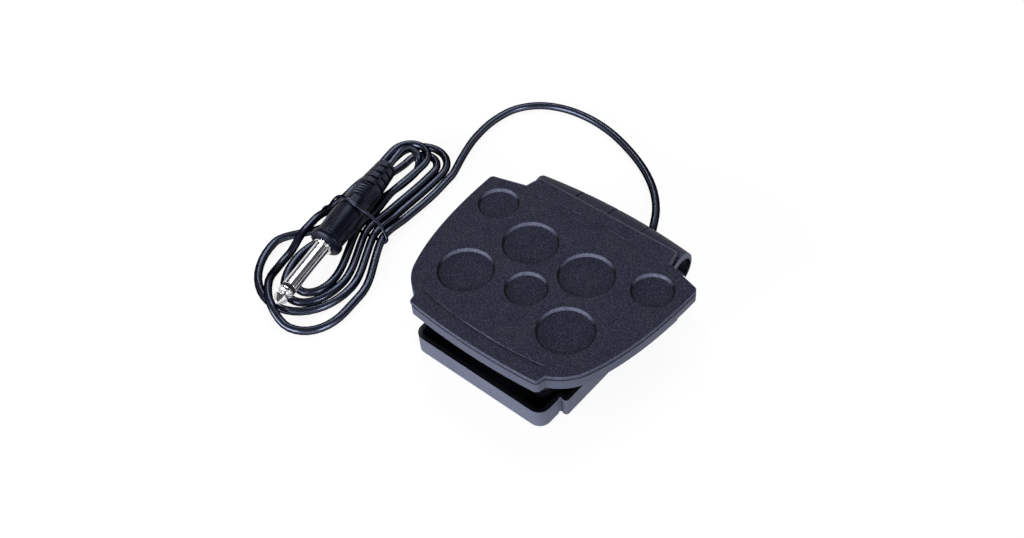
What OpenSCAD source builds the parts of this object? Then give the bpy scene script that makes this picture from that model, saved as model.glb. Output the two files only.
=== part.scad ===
// Compact foot switch: a wide tread on a hinged pedal plate over a shallow
// base tray, with a push switch inside and a lead that ends in a jack plug.
// X is to the right, Y runs back to the hinge and Z is up. The origin is on
// the floor, at the middle of the pedal's outline.

/* [Pedal] */
// Width across the wings
pedal_w = 96.6; // [92:0.2:104]
// Depth from the bowed front edge to the back of the spine
pedal_d = 85.6; // [84:0.2:94]
// Height of the tread above the floor
pedal_h = 27.5; // [26.5:0.25:32]
// Width of the front edge, between its corners
front_w = 59; // [55:0.5:63]
// How far the front edge bows out at its middle
front_bow = 1.6; // [0.6:0.1:3]
// Distance from the front corners back to the wings' rear corners
wing_back = 67; // [64:0.5:69]
// Width of the hinge spine
spine_w = 68; // [66:0.5:72]
// Outer radius of the rolled spine
spine_r = 8.5; // [8:0.1:9.5]
// Thickness of the plate's deck
deck_t = 1.8; // [1.2:0.1:2.4]
// Height of the plate's outer wall, from the seam down
skirt_h = 4.1; // [3:0.1:5]
// Thickness of the plate's outer wall
skirt_wall = 2; // [1.4:0.1:2.6]

/* [Tread] */
// Height of the tread's visible edge
tread_edge = 1.1; // [0.8:0.1:1.6]
// Height of the shadow seam under the tread's edge
seam_h = 1.1; // [0.8:0.1:1.6]
// Depth of the shadow seam
seam_d = 0.6; // [0.3:0.1:0.8]
// Radius of the large discs at their rims
disc_r = 10.6; // [9:0.1:11.5]
// Radius of the small discs at their rims
small_disc_r = 7.95; // [6.5:0.1:8.6]
// Depth of the discs
disc_depth = 1.2; // [0.6:0.1:1.6]
// Width of a disc's sloping wall
disc_slope = 0.8; // [0.4:0.1:1.4]

/* [Base] */
// Width of the tray behind its step
tray_w = 66.8; // [66:0.2:74]
// Width of the tray's narrower front
tray_front_w = 61; // [58:0.5:64]
// How far the tray's back wall stands behind the hinge axis
tray_behind = 5.6; // [5:0.1:7]
// Height of the tray's rim above the floor
tray_h = 8.5; // [8:0.1:9.5]
// Thickness of the tray's wall
tray_wall = 1.8; // [1.4:0.1:2.4]
// Thickness of the tray's floor
floor_t = 2; // [1.6:0.1:2.4]
// Distance from the tray's front to the step in its sides
step_back = 10.4; // [8:0.2:14]
// Height of the rubber feet below the tray
foot_proud = 0.4; // [0.3:0.1:0.8]
// Radius of a rubber foot
foot_r = 4.5; // [3:0.1:5.5]

/* [Hinge] */
// Radius of the hinge pin
pin_r = 1.5; // [1.2:0.05:1.8]
// Running clearance round the pin
pin_clear = 0.06; // [0.03:0.01:0.1]
// Largest angle that the pedal turns down
press_angle = 8; // [5:0.5:8]
// Width of each hinge ear
ear_t = 4; // [3:0.25:4.5]

/* [Switch] */
// Distance from the hinge axis forward to the plunger
plunger_reach = 20; // [19:0.25:21]
// Travel of the plunger
plunger_travel = 3; // [3:0.1:3.2]
// Width and depth of the switch's case
switch_w = 12; // [11:0.5:14]
// Height of the switch's case
switch_h = 8.2; // [8:0.1:8.6]
// Radius of the plunger's stem
plunger_r = 2.32; // [2:0.02:2.6]

/* [Return spring] */
// Mean radius of the return spring
spring_r = 5; // [4.6:0.1:5.5]
// Diameter of the return spring's wire
spring_wire = 1.1; // [0.9:0.1:1.3]
// Turns of the return spring
spring_turns = 7; // [6:1:8]

/* [Lead] */
// Diameter of the lead
cord_d = 3.3; // [3.3:0.1:3.4]
// Diameter of the jack plug's sleeve
plug_d = 6.35; // [6.2:0.05:6.4]
// Radius of the plug's handle
handle_r = 6.3; // [5.8:0.1:6.4]
// Diameter of the wire that ties the hank
tie_d = 1.1; // [0.9:0.1:1.1]

/* [Hidden] */
$fn = 48;
gap = 0.1;
rest_gap = 0.3;

// Lines that the rest is measured from
front_y = -pedal_d / 2 + front_bow;
seam_top = pedal_h - tread_edge;
deck_top = seam_top - seam_h;
deck_under = deck_top - deck_t;
skirt_low = deck_top - skirt_h;
tread_step = 1;
spine_y = pedal_d / 2 - spine_r;
spine_z = pedal_h - tread_step - spine_r;
axis_y = spine_y + 1.9;
axis_z = spine_z - 1;
hollow_r = spine_r - 2.85;
spine_lip_angle = -52;
floor_top = foot_proud + floor_t;
tray_d = axis_y + tray_behind - front_y;
sink = 0.4;

// Outline of the pedal
notch_out = 0.6;
notch_back = 3.7;
shoulder_out = 10.5;
shoulder_back = 13.5;
inner_corner_back = 70.5;
skirt_step_back = 55;
skirt_step = 0.8;

// Tread
lobe_back = 77;
lobe_in = 1.4;
disc_rows = [[23.2, 23.5, disc_r], [13.1, 47.9, disc_r], [36, 56.5, small_disc_r]];
centre_disc_back = 29.85;
groove_w = 1.25;
groove_depth = 0.3;
rear_groove_half = 26;

// Hinge
ear_head_r = 4.4;
ear_x = 20;
knuckle_gap = 0.3;
knuckle_t = 3.6;
clip_t = 0.8;
clip_r = 3.2;
knuckle_out = ear_x + ear_t + knuckle_gap;
pin_half = knuckle_out + knuckle_t + gap + clip_t + 0.5;

// Switch
plunger_y = axis_y - plunger_reach;
board_z = floor_top + 2.8;
board_t = 1.6;
board_w = 26;
board_d = 16;
board_post_x = 10;
board_post_r = 2.6;
case_z = board_z + board_t;
case_top = case_z + switch_h;
cavity_z = case_z + 1.4;
cavity_top = case_top - 1.2;
cavity_r = switch_w / 2 - 1.6;
plunger_top = case_top + plunger_travel + 0.2;
bridge_t = 0.5;
collar_t = 1;
collar_z = cavity_top - 0.2 - collar_t;
contact_x = 2.4;
contact_r = 0.5;
contact_low = floor_top + 1.4;
contact_head = collar_z - bridge_t - plunger_travel - 0.05 - cavity_z;

// Screws
board_screw_r = 1;
clamp_screw_r = 1;
screw_head_r = 1.9;
screw_head_h = 1.2;
screw_bite = 2.2;

// Lead
cord_r = cord_d / 2;
gland_neck_r = cord_r + 0.6;
gland_flange_r = cord_r + 1.1;
exit_x = 7.6;
exit_z = floor_top + gland_flange_r + 0.05;
exit_y = front_y + tray_d + 1;
clamp_in = 11.3;
clamp_y = front_y + tray_d - tray_wall - clamp_in;
clamp_post = 6;
clamp_post_r = 2.4;
clamp_t = 1.6;
lead_tail = 4;
lead_end_y = clamp_y - lead_tail;
wire_r = 0.5;

// Return spring and bumpers
spring_forward = 39.5;
spring_y = axis_y - spring_forward;
spring_post_h = 5;
spring_boss_h = 4;
bumper_x = 22;
bumper_y = front_y + 12;
bumper_r = 4;
bumper_h = 4.5;
bumper_stem_r = 2;

// ---- shared shapes ----

function unit(v) = v / norm(v);

function bez(a, b, c, n) =
    [for (i = [0:n]) let (t = i / n) (1 - t) * (1 - t) * a + 2 * t * (1 - t) * b + t * t * c];

function arc(c, r, a0, a1, n) =
    [for (i = [0:n]) let (a = a0 + (a1 - a0) * i / n) c + r * [cos(a), sin(a)]];

function flip(p) = [for (i = [len(p) - 1:-1:0]) [-p[i].x, p[i].y]];

// The outline moved in by d, for points that run anticlockwise
function inward(a, b) = [-(b - a).y, (b - a).x] / norm(b - a);

function inset(p, d) = [for (i = [0:len(p) - 1])
    let (a = p[(i + len(p) - 1) % len(p)], b = p[i], c = p[(i + 1) % len(p)],
        n1 = inward(a, b), n2 = inward(b, c))
    b + (n1 + n2) * d / (1 + n1 * n2)];

module along_x(x0, x1) {
    translate([x0, 0, 0]) rotate([90, 0, 90]) linear_extrude(x1 - x0) children();
}

module rod_x(x0, x1, y, z, r) {
    translate([x0, y, z]) rotate([0, 90, 0]) cylinder(h = x1 - x0, r = r);
}

module both_sides() {
    children();
    mirror([1, 0, 0]) children();
}

// A round tube swept along points; up is any direction that the path never takes
function tangent(p, i) = unit(p[min(i + 1, len(p) - 1)] - p[max(i - 1, 0)]);

function ring(c, t, r, n, up) = let (s = unit(cross(t, up)), b = cross(s, t))
    [for (k = [0:n - 1]) c + r * (cos(360 * k / n) * s + sin(360 * k / n) * b)];

module tube(p, r, n, up = [0, 0, 1], closed = false) {
    m = len(p);
    function heading(i) = closed ? unit(p[(i + 1) % m] - p[(i + m - 1) % m]) : tangent(p, i);
    rings = [for (i = [0:m - 1]) each ring(p[i], heading(i), r, n, up)];
    walls = [for (i = [0:(closed ? m - 1 : m - 2)], k = [0:n - 1])
        let (a = i * n, b = ((i + 1) % m) * n, k2 = (k + 1) % n)
        each [[a + k, b + k2, a + k2], [a + k, b + k, b + k2]]];
    caps = closed ? [] : [for (k = [1:n - 2])
        each [[0, k, k + 1], [(m - 1) * n, (m - 1) * n + k + 1, (m - 1) * n + k]]];
    polyhedron(points = rings, faces = concat(walls, caps));
}

// A smooth line through points, m steps to each stretch
function knot(a, b) = sqrt(norm(b - a));

function smooth_at(p0, p1, p2, p3, s) =
    let (t1 = knot(p0, p1), t2 = t1 + knot(p1, p2), t3 = t2 + knot(p2, p3),
        t = t1 + (t2 - t1) * s,
        a1 = (t1 - t) / t1 * p0 + t / t1 * p1,
        a2 = (t2 - t) / (t2 - t1) * p1 + (t - t1) / (t2 - t1) * p2,
        a3 = (t3 - t) / (t3 - t2) * p2 + (t - t2) / (t3 - t2) * p3,
        b1 = (t2 - t) / t2 * a1 + t / t2 * a2,
        b2 = (t3 - t) / (t3 - t1) * a2 + (t - t1) / (t3 - t1) * a3)
    (t2 - t) / (t2 - t1) * b1 + (t - t1) / (t2 - t1) * b2;

function smooth_line(p, m) = let (n = len(p)) concat(
    [for (i = [0:n - 2], k = [0:m - 1])
        smooth_at(i > 0 ? p[i - 1] : 2 * p[0] - p[1], p[i], p[i + 1],
            i + 2 < n ? p[i + 2] : 2 * p[n - 1] - p[n - 2], k / m)],
    [p[n - 1]]);

function ease(x) = let (t = min(1, max(0, x))) t * t * (3 - 2 * t);

function mix(a, b, t) = a + (b - a) * t;

// ---- outlines ----

// The right-hand edge of the pedal, from the middle of the front to the spine
function pedal_edge(fillet = 2, corner = 1.2) = let (
    half = front_w / 2,
    bow_r = (half * half + front_bow * front_bow) / (2 * front_bow),
    bow_a = asin((half - corner) / bow_r),
    notch = [half + notch_out, front_y + notch_back],
    shoulder = [half + shoulder_out, front_y + shoulder_back],
    wing = [pedal_w / 2, front_y + wing_back])
    concat(
        arc([0, front_y - front_bow + bow_r], bow_r, -90, -90 + bow_a, 8),
        [[half, front_y + 0.75 * corner]],
        bez(notch, [mix(notch.x, shoulder.x, 0.72), notch.y + 3.6], shoulder, 6),
        [for (q = bez(shoulder, [wing.x - 0.3, front_y + 32.5], wing - [0, fillet], 10))
            if (q.y > shoulder.y) q],
        arc(wing - [fillet, fillet], fillet, 15, 75, 4));

function plate_outline(fillet, corner) = concat(pedal_edge(fillet, corner),
    [[spine_w / 2, front_y + inner_corner_back], [spine_w / 2, spine_y],
    [-spine_w / 2, spine_y], [-spine_w / 2, front_y + inner_corner_back]],
    [for (q = flip(pedal_edge(fillet, corner))) if (q.x < 0) q]);

pedal_outline = plate_outline(2, 1.2);

tread_outline = concat(pedal_edge(),
    [[spine_w / 2, front_y + inner_corner_back]],
    arc([spine_w / 2 - lobe_in - 1, front_y + lobe_back - 1], 1, 10, 90, 4),
    arc([lobe_in + 1 - spine_w / 2, front_y + lobe_back - 1], 1, 90, 170, 4),
    [[-spine_w / 2, front_y + inner_corner_back]],
    [for (q = flip(pedal_edge())) if (q.x < 0) q]);

// Right-hand edge of the tray; turn is the rounding of the step's outer corner
function tray_edge(turn) = let (r = 4.5, rear = 3)
    concat(
        arc([tray_front_w / 2 - r, front_y + r], r, -90, 0, 6),
        [[tray_front_w / 2, front_y + step_back]],
        turn == 0 ? [[tray_w / 2, front_y + step_back]]
            : arc([tray_w / 2 - turn, front_y + step_back + turn], turn, -90, 0, 4),
        arc([tray_w / 2 - rear, front_y + tray_d - rear], rear, 0, 90, 5));

tray_outline = concat(tray_edge(1.1), flip(tray_edge(1.1)));
tray_inside = inset(concat(tray_edge(0), flip(tray_edge(0))), tray_wall);

// ---- base ----

module bored_post(x, y, z0, z1, r, bore_r) {
    translate([x, y, z0]) difference() {
        cylinder(h = z1 - z0, r = r, $fn = 12);
        translate([0, 0, 0.4]) cylinder(h = z1 - z0, r = bore_r, $fn = 12);
    }
}

module hinge_ear(x) {
    along_x(x, x + ear_t) difference() {
        union() {
            translate([axis_y, axis_z]) circle(r = ear_head_r);
            polygon([[axis_y - ear_head_r, axis_z], [axis_y - 7, floor_top - 0.5],
                [axis_y + 2.4, floor_top - 0.5], [axis_y + 2.2, axis_z - 3]]);
        }
        translate([axis_y, axis_z]) circle(r = pin_r + pin_clear);
    }
}

module base_tray() {
    wall_y = front_y + tray_d - tray_wall;
    stop_y = spine_y + spine_r * cos(spine_lip_angle) - rest_gap;
    stop_z = spine_z + spine_r * sin(spine_lip_angle) + 0.7;
    color([0.09, 0.09, 0.11]) difference() {
        union() {
            difference() {
                translate([0, 0, foot_proud]) linear_extrude(tray_h - foot_proud)
                    polygon(tray_outline);
                translate([0, 0, floor_top]) linear_extrude(tray_h) polygon(tray_inside);
            }
            both_sides() hinge_ear(ear_x);
            both_sides() translate([12, stop_y - 3.2, floor_top - sink])
                cube([3, 3.2, stop_z - floor_top + sink]);
            both_sides() bored_post(board_post_x, plunger_y, floor_top - sink, board_z,
                board_post_r, board_screw_r + 0.05);
            for (s = [-1, 1]) translate([exit_x + s * clamp_post, clamp_y, floor_top - sink])
                cylinder(h = exit_z + cord_r - floor_top + sink, r = clamp_post_r, $fn = 12);
            translate([exit_x - clamp_post, clamp_y - 0.75 * clamp_post_r, floor_top - sink])
                cube([2 * clamp_post, 1.5 * clamp_post_r, exit_z - floor_top + sink]);
            translate([0, spring_y, floor_top - sink])
                cylinder(h = spring_post_h + sink, r = spring_r - spring_wire, $fn = 12);
            both_sides() translate([bumper_x, bumper_y, floor_top - sink])
                cylinder(h = bumper_seat - floor_top + sink, r = bumper_r + 0.8, $fn = 12);
        }
        for (s = [-1, 1], q = foot_places) translate([s * q.x, q.y, -1])
            cylinder(h = foot_proud + foot_sunk + 1, r = foot_r + gap);
        translate([exit_x, wall_y - 1, exit_z]) rotate([-90, 0, 0])
            cylinder(h = tray_wall + 2, r = gland_neck_r + 0.05);
        translate([exit_x, clamp_y - 6, exit_z]) rotate([-90, 0, 0])
            cylinder(h = 12, r = cord_r + 0.02);
        for (s = [-1, 1]) translate([exit_x + s * clamp_post, clamp_y, floor_top])
            cylinder(h = 9, r = clamp_screw_r + 0.05, $fn = 12);
        both_sides() translate([tray_front_w / 2 + 0.4, front_y + step_back - 0.4, -1])
            cylinder(h = 12, r = 0.7, $fn = 12);
        both_sides() translate([bumper_x, bumper_y, bumper_seat - 1.6])
            cylinder(h = 2, r = bumper_stem_r + gap);
    }
}

foot_sunk = 0.8;
foot_places = [[tray_front_w / 2 - 8, front_y + 9], [tray_w / 2 - 9, front_y + tray_d - 11]];

module rubber_feet() {
    color([0.06, 0.06, 0.07]) for (s = [-1, 1], q = foot_places)
        translate([s * q.x, q.y, 0]) cylinder(h = foot_proud + foot_sunk, r = foot_r);
}

// Height of the deck's underside over the bumpers with the pedal fully down
pressed_deck = axis_z - (axis_y - bumper_y + bumper_r) * sin(press_angle)
    + (deck_under - axis_z) * cos(press_angle);
bumper_top = pressed_deck - rest_gap;
bumper_seat = bumper_top - bumper_h;

module travel_bumpers() {
    bevel = bumper_r / 3;
    color([0.07, 0.07, 0.08]) both_sides() translate([bumper_x, bumper_y, 0])
        rotate_extrude($fn = 12) polygon([[0, bumper_seat - 1.5], [bumper_stem_r, bumper_seat - 1.5],
            [bumper_stem_r, bumper_seat], [bumper_r, bumper_seat], [bumper_r, bumper_top - bevel],
            [bumper_r - bevel, bumper_top], [0, bumper_top]]);
}

module hinge_pin() {
    color([0.72, 0.73, 0.75]) rod_x(-pin_half, pin_half, axis_y, axis_z, pin_r);
}

module pin_clips() {
    x = knuckle_out + knuckle_t + gap;
    color([0.6, 0.6, 0.62]) both_sides() difference() {
        rod_x(x, x + clip_t, axis_y, axis_z, clip_r, $fn = 12);
        rod_x(x - 1, x + clip_t + 1, axis_y, axis_z, pin_r + 0.01);
    }
}

// ---- pedal ----

module spine_section() {
    lip = axis_y + 3.4;
    polygon(concat(
        [[spine_y - 9, deck_top], [spine_y - 9, axis_z + hollow_r]],
        arc([axis_y, axis_z], hollow_r, 96, spine_lip_angle, 18),
        arc([spine_y, spine_z], spine_r, spine_lip_angle, 90, 22),
        [[spine_y, deck_top]]));
}

module knuckle(x) {
    difference() {
        rod_x(x, x + knuckle_t, axis_y, axis_z, hollow_r + 0.3);
        rod_x(x - 1, x + knuckle_t + 1, axis_y, axis_z, pin_r + pin_clear);
    }
}

// What is cut from each end of the spine, beside the tread's lobe: its top falls to the front
module end_fall() {
    front = front_y + inner_corner_back + 0.1;
    polygon(concat([[front, pedal_h + 1], [front, deck_under + 0.3]],
        bez([front + 0.4, deck_under + 0.35], [spine_y, spine_z + 7.9], [spine_y + 3.2, spine_z + 8], 5),
        [[spine_y + 3.2, pedal_h + 1]]));
}

module pedal_plate() {
    skirt_rear = front_y + inner_corner_back - 4;
    boss_low = plunger_top + rest_gap;
    color([0.12, 0.12, 0.14]) difference() {
        union() {
            translate([0, 0, deck_under]) linear_extrude(deck_t) polygon(pedal_outline);
            difference() {
                translate([0, 0, skirt_low]) linear_extrude(skirt_h) polygon(pedal_outline);
                translate([0, 0, skirt_low - 1]) linear_extrude(skirt_h + 2)
                    polygon(inset(plate_outline(skirt_wall + 1, skirt_wall + 2), skirt_wall));
                translate([-spine_w / 2 + skirt_wall, skirt_rear, skirt_low - 1])
                    cube([spine_w - 2 * skirt_wall, 30, skirt_h + 2]);
                translate([-pedal_w, front_y + skirt_step_back, skirt_low - 1])
                    cube([2 * pedal_w, 60, skirt_step + 1]);
            }
            along_x(-spine_w / 2, spine_w / 2) spine_section();
            both_sides() knuckle(knuckle_out);
            both_sides() knuckle(ear_x - knuckle_gap - knuckle_t);
            translate([0, plunger_y, boss_low])
                cylinder(h = deck_under - boss_low + 0.5, r = 3, $fn = 12);
            both_sides() translate([0, plunger_y - 0.8, boss_low + 2])
                cube([9, 1.6, deck_under - boss_low - 1.5]);
            translate([0, spring_y, deck_under - spring_boss_h])
                cylinder(h = spring_boss_h + sink, r = spring_r - spring_wire, $fn = 12);
        }
        translate([0, 0, deck_top]) linear_extrude(10) polygon(inset(tread_outline, -0.15));
        for (x = [-15.5, 0, 15.5]) translate([x - 0.8, front_y + lobe_back, axis_z])
            difference() {
                cube([1.6, 12, 12]);
                translate([-1, spine_y - front_y - lobe_back, spine_z - axis_z])
                    rotate([0, 90, 0]) cylinder(h = 4, r = spine_r - 0.5);
            }
        both_sides() along_x(spine_w / 2 - lobe_in + 0.15, spine_w / 2 + 1) end_fall();
    }
}

module groove(y_mid, rise, half, w) {
    steps = [-7:7];
    polygon(concat(
        [for (k = steps) let (x = half * k / 7) [x, y_mid + rise * x * x - w / 2]],
        [for (k = steps) let (x = -half * k / 7) [x, y_mid + rise * x * x + w / 2]]));
}

module disc_cut(x, back, r) {
    translate([x, front_y + back, pedal_h - disc_depth])
        cylinder(h = disc_depth + 0.02, r1 = r - disc_slope, r2 = r);
}

module tread_pad() {
    color([0.15, 0.15, 0.19]) difference() {
        union() {
            translate([0, 0, seam_top]) linear_extrude(tread_edge) polygon(tread_outline);
            translate([0, 0, deck_top]) linear_extrude(seam_h + 0.2)
                polygon(inset(tread_outline, seam_d));
        }
        both_sides() for (q = disc_rows) disc_cut(q.x, q.y, q[2]);
        disc_cut(0, centre_disc_back, small_disc_r);
        translate([0, 0, pedal_h - groove_depth]) linear_extrude(1) {
            groove(front_y + 4.3, 0.0033, front_w / 2 - 1.5, groove_w);
            groove(front_y + inner_corner_back, -0.0027, rear_groove_half, 0.5);
        }
    }
}

// ---- return spring and switch ----

function helix(r, z0, z1, turns, per_turn) =
    [for (i = [0:turns * per_turn]) let (a = 360 * i / per_turn)
        [r * cos(a), r * sin(a), z0 + (z1 - z0) * i / (turns * per_turn)]];

module return_spring() {
    low = floor_top + spring_wire / 2 + gap / 2;
    high = deck_under - spring_wire / 2 - gap;
    echo(return_spring_gap = (high - low) / spring_turns - spring_wire);
    color([0.7, 0.71, 0.73]) translate([0, spring_y, 0])
        tube(helix(spring_r, low, high, spring_turns, 8), spring_wire / 2, 6);
}

module switch_board() {
    color([0.12, 0.3, 0.16]) difference() {
        translate([-board_w / 2, plunger_y - board_d / 2, board_z])
            cube([board_w, board_d, board_t]);
        both_sides() translate([board_post_x, plunger_y, board_z - 1])
            cylinder(h = board_t + 2, r = board_screw_r + gap, $fn = 12);
        both_sides() translate([contact_x, plunger_y, board_z - 1])
            cylinder(h = board_t + 2, r = contact_r + 0.05, $fn = 12);
    }
}

module screw(x, y, seat, length, r) {
    slot_w = 0.5;
    translate([x, y, seat]) difference() {
        union() {
            translate([0, 0, -length]) cylinder(h = length, r = r, $fn = 12);
            cylinder(h = screw_head_h, r = screw_head_r, $fn = 12);
        }
        for (a = [0, 90]) rotate([0, 0, a])
            translate([-screw_head_r * 0.6, -slot_w / 2, screw_head_h / 2])
            cube([screw_head_r * 1.2, slot_w, screw_head_h]);
    }
}

module board_screws() {
    color([0.66, 0.66, 0.68]) both_sides()
        screw(board_post_x, plunger_y, board_z + board_t, board_t + screw_bite, board_screw_r);
}

module switch_case() {
    half = switch_w / 2;
    color([0.1, 0.1, 0.1]) difference() {
        translate([-half, plunger_y - half, case_z]) cube([switch_w, switch_w, switch_h]);
        translate([0, plunger_y, cavity_z]) cylinder(h = cavity_top - cavity_z, r = cavity_r);
        translate([0, plunger_y, cavity_z]) cylinder(h = switch_h, r = plunger_r + 0.08);
        both_sides() translate([contact_x, plunger_y, case_z - 1])
            cylinder(h = 4, r = contact_r + 0.05, $fn = 12);
    }
}

module switch_plunger() {
    dome = 5;
    rim = asin(plunger_r / dome);
    color([0.75, 0.2, 0.16]) translate([0, plunger_y, 0]) rotate_extrude()
        polygon(concat([[0, collar_z], [cavity_r - 0.2, collar_z],
            [cavity_r - 0.2, collar_z + collar_t], [plunger_r, collar_z + collar_t]],
            arc([0, plunger_top - dome], dome, 90 - rim, 90, 1)));
}

module contact_bridge() {
    color([0.82, 0.6, 0.28]) translate([0, plunger_y, collar_z - bridge_t])
        cylinder(h = bridge_t, r = cavity_r - 0.8);
}

module switch_contacts() {
    color([0.82, 0.62, 0.3]) both_sides() translate([contact_x, plunger_y, contact_low]) {
        cylinder(h = cavity_z - contact_low + 0.1, r = contact_r, $fn = 12);
        translate([0, 0, cavity_z - contact_low]) cylinder(h = contact_head, r = 2 * contact_r, $fn = 12);
    }
}

module switch_spring() {
    wire = 0.36;
    low = cavity_z + wire / 2 + 0.03;
    high = collar_z - bridge_t - wire / 2 - 0.03;
    echo(switch_spring_gap = (high - low) / 4 - wire);
    color([0.7, 0.71, 0.73]) translate([0, plunger_y, 0])
        tube(helix(1, low, high, 4, 8), wire / 2, 6);
}

// ---- lead inside the base ----

module inner_lead() {
    color([0.05, 0.05, 0.06]) translate([exit_x, lead_end_y, exit_z]) rotate([-90, 0, 0])
        cylinder(h = exit_y - lead_end_y, r = cord_r);
}

module lead_wires() {
    for (s = [-1, 1]) color(s < 0 ? [0.7, 0.1, 0.1] : [0.85, 0.85, 0.82])
        tube(smooth_line([
            [exit_x + s * 0.7, lead_end_y - 0.02, board_z - 0.75],
            [exit_x + s * 0.75, lead_end_y - 1.5, board_z - 0.85],
            [exit_x - 1 + s * 1.5, plunger_y + 5.8, board_z - 1.1],
            [s * 3.4 + 1, plunger_y + 4, board_z - 1.2],
            [s * contact_x, plunger_y + 2.2, board_z - 1.1],
            [s * contact_x, plunger_y + 0.52, board_z - 1.1]], 3), wire_r, 6);
}

module cord_clamp() {
    bar_z = exit_z + cord_r + 0.02;
    color([0.1, 0.1, 0.12]) difference() {
        translate([exit_x - clamp_post - clamp_post_r, clamp_y - clamp_post_r, bar_z])
            cube([2 * (clamp_post + clamp_post_r), 2 * clamp_post_r, clamp_t]);
        for (s = [-1, 1]) translate([exit_x + s * clamp_post, clamp_y, bar_z - 1])
            cylinder(h = 4, r = clamp_screw_r + gap, $fn = 12);
    }
}

module clamp_screws() {
    seat = exit_z + cord_r + 0.02 + clamp_t;
    color([0.66, 0.66, 0.68]) for (s = [-1, 1])
        screw(exit_x + s * clamp_post, clamp_y, seat, clamp_t + screw_bite, clamp_screw_r);
}

module cord_gland() {
    wall_out = front_y + tray_d;
    wall_in = wall_out - tray_wall;
    color([0.06, 0.06, 0.07]) translate([exit_x, 0, exit_z]) rotate([-90, 0, 0])
        difference() {
            union() {
                translate([0, 0, wall_in - 1]) cylinder(h = 1 - 0.02, r = gland_flange_r, $fn = 12);
                translate([0, 0, wall_in - 0.5])
                    cylinder(h = tray_wall + 1, r = gland_neck_r);
                translate([0, 0, wall_out + 0.02]) cylinder(h = 0.98, r = gland_flange_r, $fn = 12);
            }
            translate([0, 0, wall_in - 3]) cylinder(h = 9, r = cord_r + 0.04);
        }
}

// ---- free lead, hank and plug ----

// The hank lies along its own line: u runs up it from the tie, v to its right
hank_x = -90;
hank_y = front_y + 32;
hank_angle = 98;
function place(p) = [hank_x + p[0] * cos(hank_angle) + p[1] * sin(hank_angle),
    hank_y + p[0] * sin(hank_angle) - p[1] * cos(hank_angle), p[2]];

floor_z = cord_r + 0.01;
hank_start = [36, 15];

// Route of the free lead over the floor, from the gland to the hank
route = [
    [exit_x, exit_y, exit_z], [exit_x, exit_y + 1.7, exit_z], [exit_x, exit_y + 3.4, exit_z],
    [exit_x - 0.2, exit_y + 8, 3.8], [exit_x - 1.3, exit_y + 13, 2.3],
    [4, 60.6, floor_z], [-1, 69.5, floor_z], [-8.5, 78, floor_z], [-18.5, 85.4, floor_z],
    [-31, 91.5, floor_z], [-45, 96, floor_z], [-58, 97.4, floor_z], [-70, 95.8, floor_z],
    [-80, 91, floor_z], [-87, 82.6, floor_z], [-89.6, 71, floor_z], [-88.6, 58, floor_z],
    [-85.5, 47, floor_z]];

hank_pitch = 4.06;
waist_right = 11.8;
waist_left = -16.7;
loops = 4;
tie_gap = 0.25;
tie_lift = tie_d + tie_gap + 0.05;
layer = cord_d + 0.5;
// Lower folds: right side, left side, depth, place along the hank, lean
low_folds = [[21.8, -16.4, 22, -34.5, 0.3], [16.3, -25.8, 23.9, -27.5, 0.1],
    [11.8, -12.4, 18.2, -27.5, 0.12], [7.7, -8.2, 11, -29.4, 0.12]];
// Upper folds: left side, right side, place along the hank, height, layer
top_folds = [[-12.3, 11, 41, 11, 0], [-6.3, 7.1, 40.3, 6.8, 0], [-13, 3.4, 39.2, 8.2, 1]];

function lift(u) = tie_lift * (1 - ease(abs(u) / 12));

function low_at(i, t) = let (f = low_folds[i], mid = (f[0] + f[1]) / 2,
    v = mid + (f[0] - f[1]) / 2 * cos(180 * t))
    [f[3] - f[4] * (v - mid) - f[2] * sin(180 * t), v, floor_z];

function top_at(i, t) = let (f = top_folds[i])
    [f[2] + f[3] * sin(180 * t), (f[0] + f[1]) / 2 - (f[1] - f[0]) / 2 * cos(180 * t),
    floor_z + f[4] * layer];

// A run between two places, drawn in at the waist; late is where it starts to move across,
// and haste above 1 ends its move early
function run_at(a, b, t, late, haste = 1) = let (u = mix(a[0], b[0], t))
    [u, mix(a[1], b[1], ease(late == 0 ? haste * t : (u - late) / (b[0] - late)))];

// A hump that rises from a to b and falls from c to d, 0 to 1 high
function hump(x, a, b, c, d) = ease((x - a) / (b - a)) - ease((x - c) / (d - c));

// The first loop passes over the second's left side twice, on its fold and on its run up
function over_fold(t) = layer * hump(t, 0.42, 0.62, 0.74, 0.94);
function over_run(u) = layer * hump(u, -28.5, -16.4, -10.5, 1.5);

// Heights of the third loop's run up to its fold, and of its run down again
function climb(u) = layer * ease((u + 4) / 14);
function descend(u) = layer * ease((u - 6) / 14);

// Nothing of the lead goes below the floor
function laid(p) = [p[0], p[1], max(p[2], floor_z)];

function raised(p, more) = [p[0], p[1], floor_z + lift(p[0]) + more];

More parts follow.
